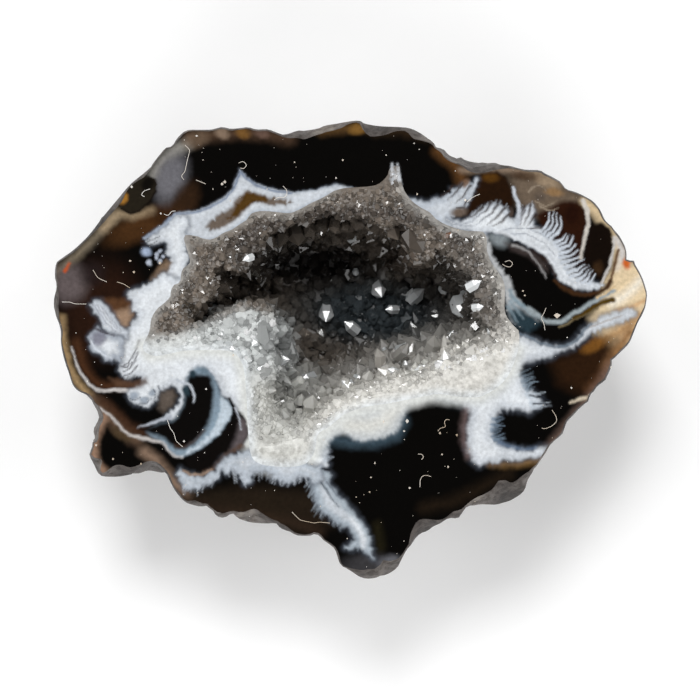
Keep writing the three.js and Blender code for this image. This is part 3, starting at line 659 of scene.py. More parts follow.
def paint_lower_left(paint):
    """Dark oval lobe below the feathers, its pale crescents and the bands below it."""
    paint.stroke([(170, 417), (162, 419.5), (154, 422.5), (146, 425.5), (138, 427.5)],
                 (172, 178, 188), 4.6, 1.4, 1.5)
    scallop = [(99, 408), (105, 412), (110, 416), (116, 422), (121, 428), (127, 433), (134, 436),
               (142, 438.5), (150, 440), (158, 440.5), (163, 441.5), (166, 445), (170, 450.5), (175, 454.5),
               (181, 456)]
    paint.stroke([(x + 3, y - 6) for x, y in scallop[:9]], (66, 42, 28), 6, 7)
    paint.stroke(scallop, (182, 177, 174), 2.2, 1.4, 4)
    paint.area([(186, 378), (190, 371), (198, 366), (206, 368), (213, 376), (218, 388), (222, 398),
                (230, 404), (233, 411), (230, 418), (224, 428), (216, 436.5), (208, 442.5), (198, 449.5),
                (189, 454), (180, 456), (172, 452), (166, 444), (158, 438), (150, 436), (146, 432),
                (160, 424), (172, 421), (179, 414), (184, 403), (185, 390)], (128, 146, 160), 3.0)
    paint.area([(182, 455), (190, 453.5), (198, 449), (206, 443), (214, 437), (222, 430), (229, 420),
                (233, 411), (228, 402), (221, 396), (220, 410), (216, 424), (208, 436), (198, 444),
                (188, 450)], (184, 196, 206), 2.2, 1.0)
    paint.area([(187, 379), (191, 373), (200, 375), (208, 375), (212, 381), (214, 391), (213, 402),
                (211, 413), (208, 424), (202, 435), (194, 443), (185, 448), (177, 448.5), (171, 445),
                (165, 439), (157, 435), (147, 433), (140, 430), (150, 427), (162, 423), (172, 421),
                (178, 415), (183.5, 404), (185, 392)], (8, 6, 5), 3.2)
    paint.stroke([(176, 446), (186, 447), (196, 441), (205, 430)], (58, 38, 24), 3.5, 2.2, 1.5, 0.8)
    paint.blob(193, 374, 6, 6, TEAL, 30)
    paint.blob(204, 371, 8, 5, (98, 116, 128), 10, 0.8)
    paint.blob(186, 390, 5, 8, TEAL, -20)
    paint.stroke([(177, 380), (184, 382.5), (189, 385), (193, 390), (194.5, 396), (193, 402.5)],
                 (186, 192, 200), 3.2, 1.0, 1.6)
    paint.area([(232, 404), (234.5, 411), (236, 417), (238, 410), (241, 411), (246, 420), (247.5, 432),
                (246, 441), (242, 447), (235, 451), (228, 455), (222, 460), (217, 466.5), (212, 470.5),
                (205, 473.5), (197, 472.5), (190, 468), (184, 460), (190, 456), (199, 451), (208, 445),
                (217, 438.5), (225, 429), (231, 419)], (10, 7, 6), 1.6, 0.8)
    paint.area([(240, 418), (245, 420), (247.5, 432), (245, 442), (238, 448), (230, 450), (236, 438),
                (239, 428)], MAUVE, 4)
    paint.stroke([(205, 472), (214, 468), (222, 459), (232, 452), (242, 446)],
                 (96, 74, 60), 4, 2.4, strength=0.8)
    paint.stroke([(229, 399), (233, 406), (235.5, 414), (233, 421)], (10, 8, 8), 2.6, 1.0, 3.5)
    paint.stroke([(235, 407), (238, 414), (240, 422), (241, 430)], (168, 172, 180), 2.4, 1.0, 0.8)
    white = [(250, 450), (243, 452), (235, 455), (225, 459.5), (219, 465.5), (213, 472), (205, 476),
             (195, 477), (186, 473), (180, 468), (178, 476), (183, 488), (190, 490), (200, 487.5),
             (210, 483), (217, 478), (222, 470), (228, 473), (234, 469), (240, 474), (245, 484), (250, 480),
             (253, 471), (262, 471), (270, 471), (276, 478), (284, 481.5), (293, 480.5), (300, 477),
             (306, 477), (312, 482), (322, 478), (320, 466), (300, 462), (262, 456)]
    paint.pale(white, (178, 186, 195), 2.6, 1.8, 7.0, WHITE)
    paint.fringe([(184, 487), (196, 488), (208, 483), (218, 476)], (186, 193, 202), 7, -105, 2.6)
    paint.fringe([(226, 468), (236, 470), (246, 474)], (186, 193, 202), 12, -70, 2.4)
    paint.fringe([(246, 474), (254, 470), (266, 470), (278, 476), (292, 478), (306, 476)],
                 (180, 187, 196), 8, -95, 2.2)
    paint.stroke([(183, 470), (192, 474.5), (202, 474), (211, 469)], (150, 128, 112), 2.4, 1.4)


def paint_bottom_arm(paint):
    """White arm that runs down to the lower tip, and the lower edge of the hollow's pale zone."""
    paint.pale([(316, 434), (322, 444), (328, 451), (326, 458), (328, 464), (326, 467.5), (312, 467),
                (300, 463)], WHITE)
    paint.fringe([(323, 446), (326, 455), (325, 463)], SOFT_WHITE, 7, 10, 2.2)
    paint.pale([(308, 474), (312, 484), (316, 494), (319, 504), (322, 512), (330, 517), (337, 521),
                (342, 527), (346, 526), (350, 528), (354, 534), (354, 541), (349, 546), (345, 549),
                (350, 550), (357, 548), (363, 549), (367, 553), (374, 559), (371.5, 551), (371, 544),
                (369, 535), (365, 527), (359, 519), (353, 511), (346, 503), (339, 496), (333, 490),
                (329, 484), (330, 479), (332, 475), (324, 470), (312, 468)],
               (164, 174, 183), 2.6, 1.4, 7.0, WHITE)
    paint.fringe([(310, 480), (315, 496), (320, 511)], (150, 160, 170), 8, -125, 2.4)
    paint.fringe([(322, 512), (332, 518), (342, 527)], (160, 170, 180), 6, -100, 2.4)
    paint.stroke([(320, 481), (326, 490), (331, 498), (339, 507)], (84, 92, 100), 2.4, 1.3, 0.8)
    paint.stroke([(326, 482), (333, 491), (342, 499)], (110, 118, 128), 1.6, 1.0, 0.8)
    paint.stroke([(352, 520), (362, 534), (364, 546)], BRIGHT, 5, 3.4, 4, 0.8)
    paint.stroke([(308, 468.5), (318, 468.5), (330, 469.5)], (22, 20, 22), 2.2, 1.0)
    bulge = [(312, 436), (322, 428), (346, 410), (366, 402), (386, 398), (406, 392), (430, 388), (462, 388),
             (480, 396), (470, 404), (454, 402), (436, 397), (424, 396), (412, 401), (404, 411), (400, 425),
             (394, 433), (377, 439), (362, 441), (354, 438), (344, 431), (334, 436), (326, 446), (320, 450)]
    paint.stroke([(334, 439), (352, 443), (377, 443), (396, 436), (404, 422)], (66, 84, 96), 6, 8)
    paint.area(bulge, (40, 54, 64), 11, strength=0.8)
    paint.area(bulge, (134, 148, 160), 5)
    paint.area(bulge, (196, 200, 202), 3, 1.0)
    paint.stroke([(346, 424), (366, 426), (384, 422), (392, 410), (404, 398), (428, 391)], CREAM, 14, 7)


def paint_lower_right(paint):
    """White ground between the dark lobes right of the lower tip."""
    paint.pale([(456, 392), (482, 396), (500, 386), (511, 372), (518, 352), (519, 336), (535, 341),
                (548, 347), (562, 347), (575, 342), (582, 334), (588, 326), (598, 319), (612, 313.5),
                (632, 309), (636, 316), (618, 323), (604, 328), (592, 332), (582, 341), (572, 348),
                (560, 352), (552, 357), (540, 358), (530, 361), (522, 366), (518, 372), (522, 380),
                (526, 388), (532, 393), (540, 398), (538, 406), (530, 411), (522, 411), (512, 409),
                (504, 408), (498, 412), (494, 420), (492, 428), (491, 436), (497, 443), (506, 447),
                (518, 450), (532, 450), (546, 447), (544, 454), (534, 458), (518, 460), (500, 461),
                (488, 463), (480, 465), (472, 460), (468, 453), (467, 440), (468, 425), (470, 414),
                (464, 404)], WHITE, 3.0, 1.8, 8.0)
    paint.stroke([(467, 410), (464, 424), (464, 440), (468, 456)], (112, 94, 92), 5, 5, strength=0.8)
    paint.fringe([(520, 374), (524, 384), (530, 392)], (130, 146, 160), 11, 25, 2.0)
    paint.fringe([(528, 394), (533, 402), (534, 409)], (186, 196, 206), 17, 4, 1.5)
    paint.fringe([(494, 418), (493, 428), (494, 438), (500, 444)], (120, 138, 156), 9, 10, 1.8)
    for points in ([(530, 396), (540, 397), (549, 400)], [(534, 403), (542, 403), (549, 405)]):
        paint.stroke(points, (30, 34, 42), 1.6, 0.9, 0.8)
    paint.stroke([(500, 443), (510, 447), (522, 449), (536, 448)], (96, 112, 134), 4, 3, 2)
    paint.stroke([(520, 334), (530, 338), (542, 343.5), (554, 347), (566, 346), (576, 341), (583, 332),
                  (591, 324)], (104, 116, 128), 2.2, 1.6)
    paint.stroke([(590, 327), (604, 321), (622, 316)], (150, 138, 128), 1.4, 0.9, strength=0.7)


def paint_black_lobes(paint):
    """Dark lobes right of the hollow and the pale lines between them."""
    paint.area([(484, 231), (486, 243), (487, 254), (492, 265), (500, 275), (504, 286), (505, 300),
                (507, 312), (513, 322), (522, 328), (538, 322), (530, 311), (521, 304), (515, 296),
                (512, 286), (509, 277), (503, 269), (496, 262), (491, 252), (490, 243)],
               (176, 178, 180), 2.0, 1.4)
    paint.area([(508, 308), (520, 308), (534, 316), (540, 324), (528, 334), (516, 326), (509, 318)],
               (38, 54, 62), 4)
    for start, end in [((510, 290), (521, 308)), ((511, 296), (530, 313)), ((510, 302), (524, 318)),
                       ((513, 300), (538, 319)), ((508, 306), (518, 322))]:
        paint.stroke([start, end], (126, 144, 154), 4.0, 1.8, 0.8, 0.8)
    paint.blob(499, 239, 15, 11, (134, 142, 146), 30, 0.9)
    paint.area([(504, 242), (520, 247), (536, 254), (546, 264), (547, 272), (540, 268), (530, 256),
                (512, 250)], (62, 54, 52), 4)
    paint.stroke([(512, 245), (527, 250), (535, 259), (540, 268), (546, 278)], (146, 144, 144), 2.2, 1.2, 0.8)
    paint.stroke([(528, 309), (535, 314), (543, 320), (552, 322.5), (561, 321.5), (568, 317.5), (576, 312),
                  (584, 307.5), (594, 301), (606, 295.5), (614, 291)], (150, 160, 164), 4.6, 1.6, 4)
    paint.stroke([(560, 327), (570, 322), (584, 314), (598, 309)], (118, 106, 80), 2.0, 1.2)
    paint.stroke([(613, 300), (603, 303), (592, 308), (583, 313), (574, 318.5)], (74, 54, 14), 5.5, 1.8, 3.0)


def paint_fern(paint):
    """White fern right of the hollow: a stem with barbs that curl up into brown lobes."""
    paint.area([(476, 180), (480, 175), (488, 172), (498, 172), (506, 178), (511, 188), (514, 202),
                (508, 210), (496, 205), (482, 210), (464, 220), (466, 204), (471, 194)], (34, 18, 6), 2.5)
    paint.blob(490, 178, 13, 7, (84, 54, 16), 0, 0.9)
    paint.area([(536, 214), (550, 208), (564, 200), (578, 202), (586, 211), (587, 226), (584, 244),
                (580, 258), (566, 262), (548, 240)], RED_BROWN, 3)
    paint.blob(572, 214, 10, 16, (30, 10, 4), 0, 0.8)
    paint.area([(588, 230), (592, 224), (601, 222.5), (609, 227), (613, 236), (613, 249), (610, 262),
                (606, 272), (600, 281), (595, 276), (590, 266), (582, 264), (582, 256), (585, 245)],
               (16, 8, 4), 2.5)
    paint.blob(598, 268, 8, 10, (62, 42, 24), 0, 0.7)
    paint.pale([(406, 196), (415, 199.5), (423, 201), (430, 201), (438, 198), (450, 194), (450, 188),
                (458, 187), (467, 182), (474, 184), (477, 179), (474, 191), (469, 200), (466, 207),
                (460, 212), (452, 217), (460, 221), (474, 224), (490, 231), (486, 234), (470, 233.5),
                (458, 231), (446, 228), (434, 221), (428, 215), (418, 209), (410, 203)],
               (180, 187, 196), 2.0, 1.8, 5.0, WHITE)
    paint.blob(459, 212, 12, 7, (104, 90, 80), -8)
    paint.blob(466, 183, 5, 7, (112, 84, 62), 30, 0.9)
    paint.stroke([(469, 200), (473, 190), (477.5, 180)], (190, 196, 204), 3.0, 1.2, 2)
    paint.stroke([(466, 201), (463, 207), (456, 208)], (40, 24, 14), 2.0, 1.2, 1.0)
    paint.pale([(448, 220), (460, 222), (469, 219), (476, 213), (483, 208.5), (490, 205), (498, 206),
                (504, 209), (509, 216), (514, 222), (518, 216), (521, 212), (527, 208), (533, 206),
                (534, 213), (533, 221), (536, 226), (546, 231), (553, 237), (560, 245), (565, 253),
                (569, 262), (575, 270), (583, 277), (592, 281), (602, 283), (604, 287), (595, 290),
                (585, 290.5), (575, 288.5), (567, 284.5), (560, 278.5), (555, 271.5), (551, 265),
                (546.5, 257), (540, 251.5), (530, 247.5), (520, 242.5), (510, 236), (500, 232), (486, 233),
                (470, 231), (455, 226)], WHITE, 2.0, 1.8, 5.0)
    paint.fringe([(470, 218), (480, 211), (490, 205), (500, 207), (508, 214)], (192, 199, 208), 6, 62, 2.0)
    paint.fringe([(520, 214), (527, 209), (533, 208)], (196, 203, 212), 5, 80, 2.0)
    for barb in FERN_BARBS:
        paint.stroke(barb, (196, 203, 212), 4.0, 0.9, 1.4)
    for first, second in zip(FERN_BARBS, FERN_BARBS[1:]):
        gap = [((a[0] + b[0]) / 2, (a[1] + b[1]) / 2) for a, b in zip(first, second)]
        paint.stroke(gap[::-1], (30, 15, 10), 3.0, 0.9, 0.4, 0.9)
    for gap in FERN_GAPS:
        paint.stroke(gap, (44, 30, 24), 3.0, 1.1, 0.4, 0.85)
    paint.stroke([(513, 187), (515, 195), (518, 203), (519.5, 212), (517, 224)], (190, 196, 204), 2.6, 1.1, 5)
    paint.blob(511, 213, 4, 9, (74, 62, 56), -8, 0.9)
    paint.stroke([(525, 210), (522, 218), (520, 224)], (120, 118, 122), 1.6, 0.9, 0.8)
    for points in ([(450, 220), (460, 224), (472, 222), (483, 212)],
                 [(455, 224), (466, 227), (478, 224), (490, 214)],
                 [(500, 231), (516, 228), (530, 229), (545, 236)],
                 [(510, 234), (526, 234), (544, 242), (556, 256)]):
        paint.stroke(points, (142, 148, 158), 1.4, 0.8, 0.8, 0.8)
    paint.stroke([(498, 230), (512, 236), (528, 243), (545, 252), (553, 265), (562, 279), (576, 288)],
                 BRIGHT, 3.2, 2.0, strength=0.7)
    paint.stroke([(580, 258), (583, 247), (586.5, 234), (588, 222), (587, 210), (584, 201)],
                 (196, 190, 182), 3.0, 1.1, 5)
    paint.stroke([(614, 238), (612, 256), (608, 270), (602, 283)], (192, 188, 184), 2.6, 1.1)
    paint.stroke([(618, 250), (614, 264), (612, 278), (608, 288)], (92, 64, 42), 2.6, 1.2)
    paint.stroke([(556, 281), (564, 288.5), (575, 293), (586, 295), (597, 293.5), (606, 289), (611, 282)],
                 (60, 38, 20), 4.0, 1.8)
    paint.stroke([(596, 298), (606, 294), (614, 286)], (206, 180, 140), 1.8, 1.0)
    for x in (392.5, 398):
        paint.stroke([(x, 164), (x + 0.3, 172), (x + 0.6, 182)], WHITE, 1.6, 1.2, 5.0, 0.9)
    for points in ([(529, 192), (533, 187), (540, 186), (546, 190)], [(540, 206), (548, 211), (558, 209)],
                     [(536, 202), (545, 206), (554, 204)]):
        paint.stroke(points, (156, 142, 124), 1.4, 0.8, 0.8, 0.8)
    paint.blob(540, 197, 8, 7, (84, 74, 66), 0, 0.7)


def paint_face(places):
    """Colour of the polished face at places of the photograph."""
    paint = Painter(places, BLACK)
    paint_ground(paint)
    paint_eye(paint)
    paint_black_lobes(paint)
    paint_fern(paint)
    paint_upper_band(paint)
    paint_left_feathers(paint)
    paint_bottom_arm(paint)
    paint_lower_right(paint)
    paint.stroke(PALE_SEAM, PALE_QUARTZ, 14, 7)
    paint_lower_left(paint)
    grain = 1 + 0.03 * noise(places, 2.4, 5) + 0.05 * noise(places, 7.0, 6) + 0.06 * noise(places, 20.0, 7)
    return np.clip(paint.colour * grain[:, None], 0, 1)


def paint_crust(places):
    """Colour of the quartz crust, seen from above, with painted shadow under the hollow's upper rim."""
    paint = Painter(places, (108, 99, 90))
    paint.blob(470, 290, 50, 70, (100, 95, 90), -10, 0.8)
    paint.blob(375, 312, 118, 55, (70, 77, 81), 6)
    paint.stroke([(232, 246), (262, 226), (300, 214), (350, 210), (400, 214), (440, 226), (464, 244)],
                 (66, 60, 56), 8, 10)
    paint.stroke([(488, 240), (499, 275), (505, 300), (510, 328)], (176, 174, 169), 10, 12)
    paint.area([(140, 338), (176, 336), (200, 326), (244, 308), (290, 318), (292, 380), (280, 400),
                (262, 420), (262, 470), (235, 470), (235, 400), (200, 362), (140, 366)], (196, 199, 198), 8)
    paint.area([(246, 384), (296, 366), (342, 392), (322, 440), (312, 470), (246, 472)], (204, 204, 199), 18)
    paint.area([(316, 446), (302, 408), (346, 374), (400, 354), (450, 340), (500, 332), (534, 330),
                (526, 404), (440, 410), (380, 424)], (212, 210, 204), 24)
    # Near-black patch under the hollow's overhanging upper rim, and a softer dark brown patch at its right
    # end: painted shadow
    paint.blob(310, 260, 110, 32, (34, 31, 30), 2, 0.95)
    paint.blob(400, 255, 24, 20, (62, 50, 42), 0, 0.7)
    paint.blob(189, 308, 9, 14, (40, 34, 26), 0, 0.9)
    paint.blob(448, 233, 3, 3.5, (190, 110, 40))
    paint.stroke([(182, 236), (190, 262), (181, 278), (171, 294), (153, 314), (147, 338)],
                 (160, 158, 154), 8, 7)
    paint.stroke([(196, 238), (212, 240), (226, 232), (244, 222), (254, 213), (290, 214), (312, 203),
                  (335, 191)], (142, 138, 132), 6, 5)
    paint.stroke([(402, 188), (410, 203), (428, 215), (446, 228), (470, 233), (486, 234)],
                 (160, 158, 154), 6, 7)
    for x in (392, 398.5):
        paint.stroke([(x, 160), (x + 0.3, 170), (x + 0.6, 180)], WHITE, 1.6, 1.8, 4.5, 0.9)
    paint.stroke(PALE_SEAM, (212, 217, 220), 8, 7)
    grain = 1 + 0.10 * noise(places, 3.2, 8) + 0.08 * noise(places, 7.0, 9)
    return np.clip(paint.colour * grain[:, None], 0, 1)


# Meshes


def make_piece(name, places, faces, materials, colours=None, face_materials=None, smooth=False):
    """A Blender object from places in millimetres."""
    mesh = bpy.data.meshes.new(name)
    mesh.from_pydata((np.asarray(places) * 0.001).tolist(), [], faces)
    for material in materials:
        mesh.materials.append(material)
    if face_materials is not None:
        mesh.polygons.foreach_set("material_index", np.asarray(face_materials, np.int32))
    if colours is not None:
        layer = mesh.color_attributes.new("paint", "FLOAT_COLOR", "POINT")
        layer.data.foreach_set("color", np.column_stack([colours, np.ones(len(colours))]).ravel())
    mesh.polygons.foreach_set("use_smooth", np.broadcast_to(smooth, len(mesh.polygons)).astype(bool))
    mesh.update()
    piece = bpy.data.objects.new(name, mesh)
    bpy.context.collection.objects.link(piece)
    return piece


def strip(lower, upper, count):
    """Quads between two rings of equal count, given by their first index; the rings run clockwise."""
    return [(lower + i, upper + i, upper + (i + 1) % count, lower + (i + 1) % count) for i in range(count)]


def flat_ring(outer, inner, step):
    """Triangles that fill the flat ring between two loops. The loops' points come first."""
    low, high = outer.min(axis=0), outer.max(axis=0)
    rows = np.arange(low[1], high[1], step * math.sqrt(3) / 2)
    columns = np.arange(low[0], high[0], step)
    grid_x, grid_y = np.meshgrid(columns, rows)
    grid_x = grid_x + 0.5 * step * (np.arange(len(rows)) % 2)[:, None]
    grid = np.column_stack([grid_x.ravel(), grid_y.ravel()])
    grid = grid[inside(grid, outer) & ~inside(grid, inner)]
    for loop in (outer, inner):
        distance, _ = line_field(grid, np.vstack([loop, loop[:1]]))
        grid = grid[distance > 0.55 * step]
    points = np.vstack([outer, inner, grid])
    edges = []
    for first, count in ((0, len(outer)), (len(outer), len(inner))):
        edges += [(first + i, first + (i + 1) % count) for i in range(count)]
    found = delaunay_2d_cdt([Vector(point) for point in points.tolist()], edges, [], 0, 1e-7, False)
    triangles = np.array(found[2])
    middles = points[triangles].mean(axis=1)
    kept = triangles[inside(middles, outer) & ~inside(middles, inner)]
    return points, kept


def lift(loop, height):
    return np.column_stack([loop, np.broadcast_to(height, len(loop))])


# The agate


def chip_insets(loop):
    """How far the cut face's edge lies inside each place of the outline."""
    closed = np.vstack([loop, loop[:1]])
    inset = np.full(len(loop), EDGE_INSET)
    for edge in CHIP_EDGES:
        edge = to_mm(edge)
        depth, _ = line_field(edge, closed)
        distance, along = line_field(loop, edge, 4.0)
        beside = (along > 0.001) & (along < 0.999) & (distance < depth.max() * 1.1)
        inset = np.where(beside, np.maximum(inset, distance), inset)
    wear = 0.06 * noise(loop, 0.9, 3)
    return np.convolve(np.pad(inset, 1, mode="wrap"), (0.25, 0.5, 0.25), "valid") + wear


def knob_relief(places):
    """The outside's round knobs, as in the solid."""
    swell = np.zeros(len(places))
    for k in range(KNOB_COUNT):
        down = (k + 0.5) / KNOB_COUNT
        around = k * GOLDEN_TURN * math.pi * 2
        side = math.sqrt(1 - down * down)
        middle = (KNOB_SPREAD[0] * side * math.cos(around), KNOB_SPREAD[1] * side * math.sin(around),
                  HEIGHT * (1 - down))
        reach = pick(KNOB_REACH, chance(k + 0.15))
        near = np.clip(1 - (np.linalg.norm(places - middle, axis=1) / reach) ** 2, 0, None)
        swell = np.maximum(swell, pick(KNOB_HEIGHT, chance(k + 0.35)) * np.sqrt(near))
    return swell - KNOB_SINK


def rind_rings(outline, inset):
    """Rings of the outside, from just below the cut edge down to the resting patch."""
    rounded = smooth_loop(outline, ROUND_PASSES)
    away = outward(smooth_loop(outline, NORMAL_PASSES))
    top = HEIGHT - EDGE_DROP - (inset - EDGE_INSET) * CHIP_SLOPE
    rings = []
    for turn_share in np.linspace(0, 1, RIND_RINGS) ** 1.2:
        turn = turn_share * math.pi / 2
        reach = REST_SCALE + (1 - REST_SCALE) * max(math.cos(turn), 0) ** 0.75
        rounding = min(1, turn_share * SOLID_RINGS / 4)
        roughness = min(1, turn_share * SOLID_RINGS / 2, (1 - turn_share) * SOLID_RINGS / 3)
        loop = (outline + (rounded - outline) * rounding) * reach
        z = top * (1 - math.sin(turn))
        place = lift(loop, z)
        fine = 0.22 * noise(place, 1.9, 31) + 0.14 * noise(place, 0.9, 32)
        pits = -0.45 * smoothstep(0.35, 0.75, noise(place, 1.5, 33))
        push = (roughness * (knob_relief(place) + fine + pits)
                + min(1, turn_share * 30) * (1 - turn_share) * fine)
        place[:, :2] += away * push[:, None]
        rings.append(place)
    rings[-1][:, 2] = 0
    return rings


def wall_bend(loop):
    """How the hollow's wall bends at each place of its rim, from gentle to steep."""
    upper = smoothstep(-4, 5, loop[:, 1] - FLOOR_MIDDLE[1])
    left = smoothstep(2, 6, FLOOR_MIDDLE[0] - loop[:, 0]) * smoothstep(-3, 2, loop[:, 1])
    return GENTLE_WALL + (STEEP_WALL - GENTLE_WALL) * np.maximum(upper, left)


def wall_ring(loop, depth, share):
    """A ring on the hollow's wall, from 0 at the cut face to 1 at the floor."""
    floor = FLOOR_MIDDLE + (loop - FLOOR_MIDDLE) * FLOOR_SCALE
    place = loop + (floor - loop) * (share ** wall_bend(loop))[:, None]
    return lift(place, HEIGHT - depth * math.sin(share * math.pi / 2))


def build_shell(face_material, rind_material):
    """The agate: cut face, rind, and the wall behind the crust."""
    outline = resample(to_mm(OUTLINE), RIM_STEP)
    inset = chip_insets(outline)
    cut_edge = outline - outward(smooth_loop(outline, 3)) * inset[:, None]
    crust_edge = resample(to_mm(CRUST_EDGE), RIM_STEP)
    flat, triangles = flat_ring(cut_edge, crust_edge, FACE_STEP)
    around, across = len(cut_edge), len(crust_edge)
    places = [lift(flat, HEIGHT)]
    faces = triangles.tolist()
    face_count = len(faces)
    previous, total = 0, len(flat)
    for ring in rind_rings(outline, inset):
        faces += strip(total, previous, around)
        places.append(ring)
        previous, total = total, total + around
    places.append([(0, 0, 0)])
    faces += [(previous + i, previous + (i + 1) % around, total) for i in range(around)]
    total += 1
    previous = around
    for step in range(1, BACK_STEPS + 1):
        places.append(wall_ring(crust_edge, HOLLOW_DEPTH + CRUST_FLOOR, step / BACK_STEPS))
        faces += strip(previous, total, across)
        previous, total = total, total + across
    floor = np.append(FLOOR_MIDDLE, HEIGHT - HOLLOW_DEPTH - CRUST_FLOOR)
    places.append([floor])
    faces += [(previous + (i + 1) % across, previous + i, total) for i in range(across)]
    places = np.vstack(places)
    colours = np.zeros((len(places), 3)) + linear(*BROWN)
    colours[:len(flat)] = paint_face(to_pixels(flat))
    kinds = np.ones(len(faces), int)
    kinds[:face_count] = 0
    return make_piece("agate", places, faces, [face_material, rind_material], colours, kinds, kinds == 1)


# The crust


def crystal_arrays(roots, axes, radii, stems, tips, spins, offsets):
    """Closed six-sided crystals with pointed, slightly lopsided ends."""
    count = len(roots)
    axes = axes / np.linalg.norm(axes, axis=1, keepdims=True)
    side, other = axis_sides(axes)
    places = np.zeros((count, CRYSTAL_POINTS, 3))
    for corner in range(6):
        angle = spins + corner * math.pi / 3
        spoke = side * np.cos(angle)[:, None] + other * np.sin(angle)[:, None]
        places[:, corner] = roots + spoke * radii[:, None] - axes * (radii * 1.2)[:, None]
        places[:, 6 + corner] = roots + spoke * radii[:, None] + axes * stems[:, None]
    lean = side * offsets[:, :1] + other * offsets[:, 1:]
    places[:, -1] = roots + axes * (stems + tips)[:, None] + lean * radii[:, None]
    return places


def axis_sides(axes):
    """Two directions square to each axis."""
    helper = np.where(np.abs(axes[:, 2:3]) < 0.9, (0.0, 0.0, 1.0), (1.0, 0.0, 0.0))
    side = np.cross(axes, helper)
    side /= np.linalg.norm(side, axis=1, keepdims=True)
    return side, np.cross(axes, side)


def crystal_faces(first, count):
    """Faces of crystals whose thirteen points each start at an index."""
    faces = []
    for start in range(first, first + CRYSTAL_POINTS * count, CRYSTAL_POINTS):
        for corner in range(6):
            after = (corner + 1) % 6
            faces.append((start + corner, start + after, start + 6 + after, start + 6 + corner))
            faces.append((start + 6 + corner, start + 6 + after, start + CRYSTAL_POINTS - 1))
        faces.append(tuple(start + corner for corner in reversed(range(6))))
    return faces


def scatter(rings, count):
    """Random places on a wall of rings, evenly by area, with the wall's direction and share of its depth."""
    rings = np.asarray(rings)
    after = np.roll(rings, -1, axis=1)
    along, down = after[:-1] - rings[:-1], rings[1:] - rings[:-1]
    normals = np.cross(down, along)
    areas = np.linalg.norm(normals, axis=2)
    chosen = rng.choice(areas.size, count, p=areas.ravel() / areas.sum())
    step, spot = np.unravel_index(chosen, areas.shape)
    a, b = rng.uniform(0, 1, (2, count, 1))
    upper = rings[step, spot] * (1 - a) + after[step, spot] * a
    lower = rings[step + 1, spot] * (1 - a) + after[step + 1, spot] * a
    normal = normals[step, spot] / areas[step, spot][:, None]
    normal *= np.where(normal[:, 2:3] < 0, -1, 1)
    return upper * (1 - b) + lower * b, normal, (step + b[:, 0]) / len(areas)


def wall_crystals(rings):
    """Crystals all over the hollow's wall: sugary at the rim, larger in the deep."""
    count = WALL_CRYSTALS
    roots, normal, share = scatter(rings, count)
    size = rng.lognormal(0.0, 0.38, count)
    radii = np.clip((0.17 + 0.30 * smoothstep(0.0, 0.4, share)) * size, 0.1, 0.8)
    axes = normal + rng.normal(0, 0.38, (count, 3)) + (0, 0, 0.2)
    stems = radii * rng.uniform(0.1, 0.9, count)
    tips = radii * rng.uniform(0.8, 1.4, count)
    offsets = rng.uniform(-0.35, 0.35, (count, 2))
    return crystal_arrays(roots, axes, radii, stems, tips, rng.uniform(0, math.tau, count), offsets)


def shelf_share(places):
    """1 on the left shelf and the lower left slope, where coarse crystals stand on the cut face."""
    pixels = to_pixels(places)
    shelf = np.hypot((pixels[:, 0] - 250) / 48, (pixels[:, 1] - 338) / 36)
    slope = np.hypot((pixels[:, 0] - 272) / 24, (pixels[:, 1] - 410) / 36)
    return 1 - smoothstep(0.6, 1.1, np.minimum(shelf, slope))


def rim_crystals(flat, mouth):
    """Sugary grains on the cut face beside the hollow, coarse on the left shelf and along the lower lip."""
    count = RIM_CRYSTALS
    distance, _ = line_field(flat[:, :2], np.vstack([mouth, mouth[:1]]))
    upper = smoothstep(-1.0, 4.0, flat[:, 1])
    lip = np.exp(-distance / 1.3) * (1 - upper)
    coarse = np.maximum(shelf_share(flat[:, :2]), lip)
    weight = np.exp(-distance / (0.9 + 5.0 * upper)) + 0.7 * coarse
    chosen = rng.choice(len(flat), count, p=weight / weight.sum())
    radii = rng.uniform(0.1, 0.27, count) * (1 + 0.6 * upper[chosen])
    radii *= 1 + 1.7 * coarse[chosen] * rng.uniform(0, 1, count) ** 2
    axes = np.column_stack([rng.normal(0, 0.5, (count, 2)), np.ones(count)])
    stems = radii * rng.uniform(0.0, 0.4, count)
    tips = radii * rng.uniform(0.6, 1.1, count)
    roots = flat[chosen] + np.column_stack([rng.normal(0, 0.08, (count, 2)), 0.05 - 0.4 * (stems + tips)])
    offsets = rng.uniform(-0.4, 0.4, (count, 2))
    return crystal_arrays(roots, axes, radii, stems, tips, rng.uniform(0, math.tau, count), offsets)


def wall_height(places, wall):
    """Height of the nearest wall point, seen from above."""
    gaps = np.linalg.norm(places[:, None] - wall[None, :, :2], axis=2)
    return wall[gaps.argmin(axis=1), 2]


def big_crystals(wall):
    """The crystals that stand out in the photograph."""
    x, y, width, turn, rise = np.array(BIG_CRYSTALS, float).T
    count = len(x)
    places = to_mm(np.column_stack([x, y]))
    radii = width / PX_PER_MM * 0.5 * rng.uniform(0.6, 1.1, count)
    turn = np.radians(turn + rng.normal(0, 18, count))
    axes = np.column_stack([np.cos(turn), np.sin(turn), rise * rng.uniform(0.6, 1.4, count)])
    axes /= np.linalg.norm(axes, axis=1, keepdims=True)
    stems, tips = radii * rng.uniform(0.5, 1.3, count), radii * rng.uniform(0.9, 1.4, count)
    middles = lift(places, np.maximum(wall_height(places, wall) + radii, HEIGHT - 4.0))
    middles[:, 2] = np.minimum(middles[:, 2], HEIGHT - (stems + tips) * 0.5 * axes[:, 2] - 0.05)
    roots = middles - axes * ((stems + tips) * 0.4)[:, None]
    offsets = rng.uniform(-0.45, 0.45, (count, 2))
    return crystal_arrays(roots, axes, radii, stems, tips, rng.uniform(0, math.tau, count), offsets)


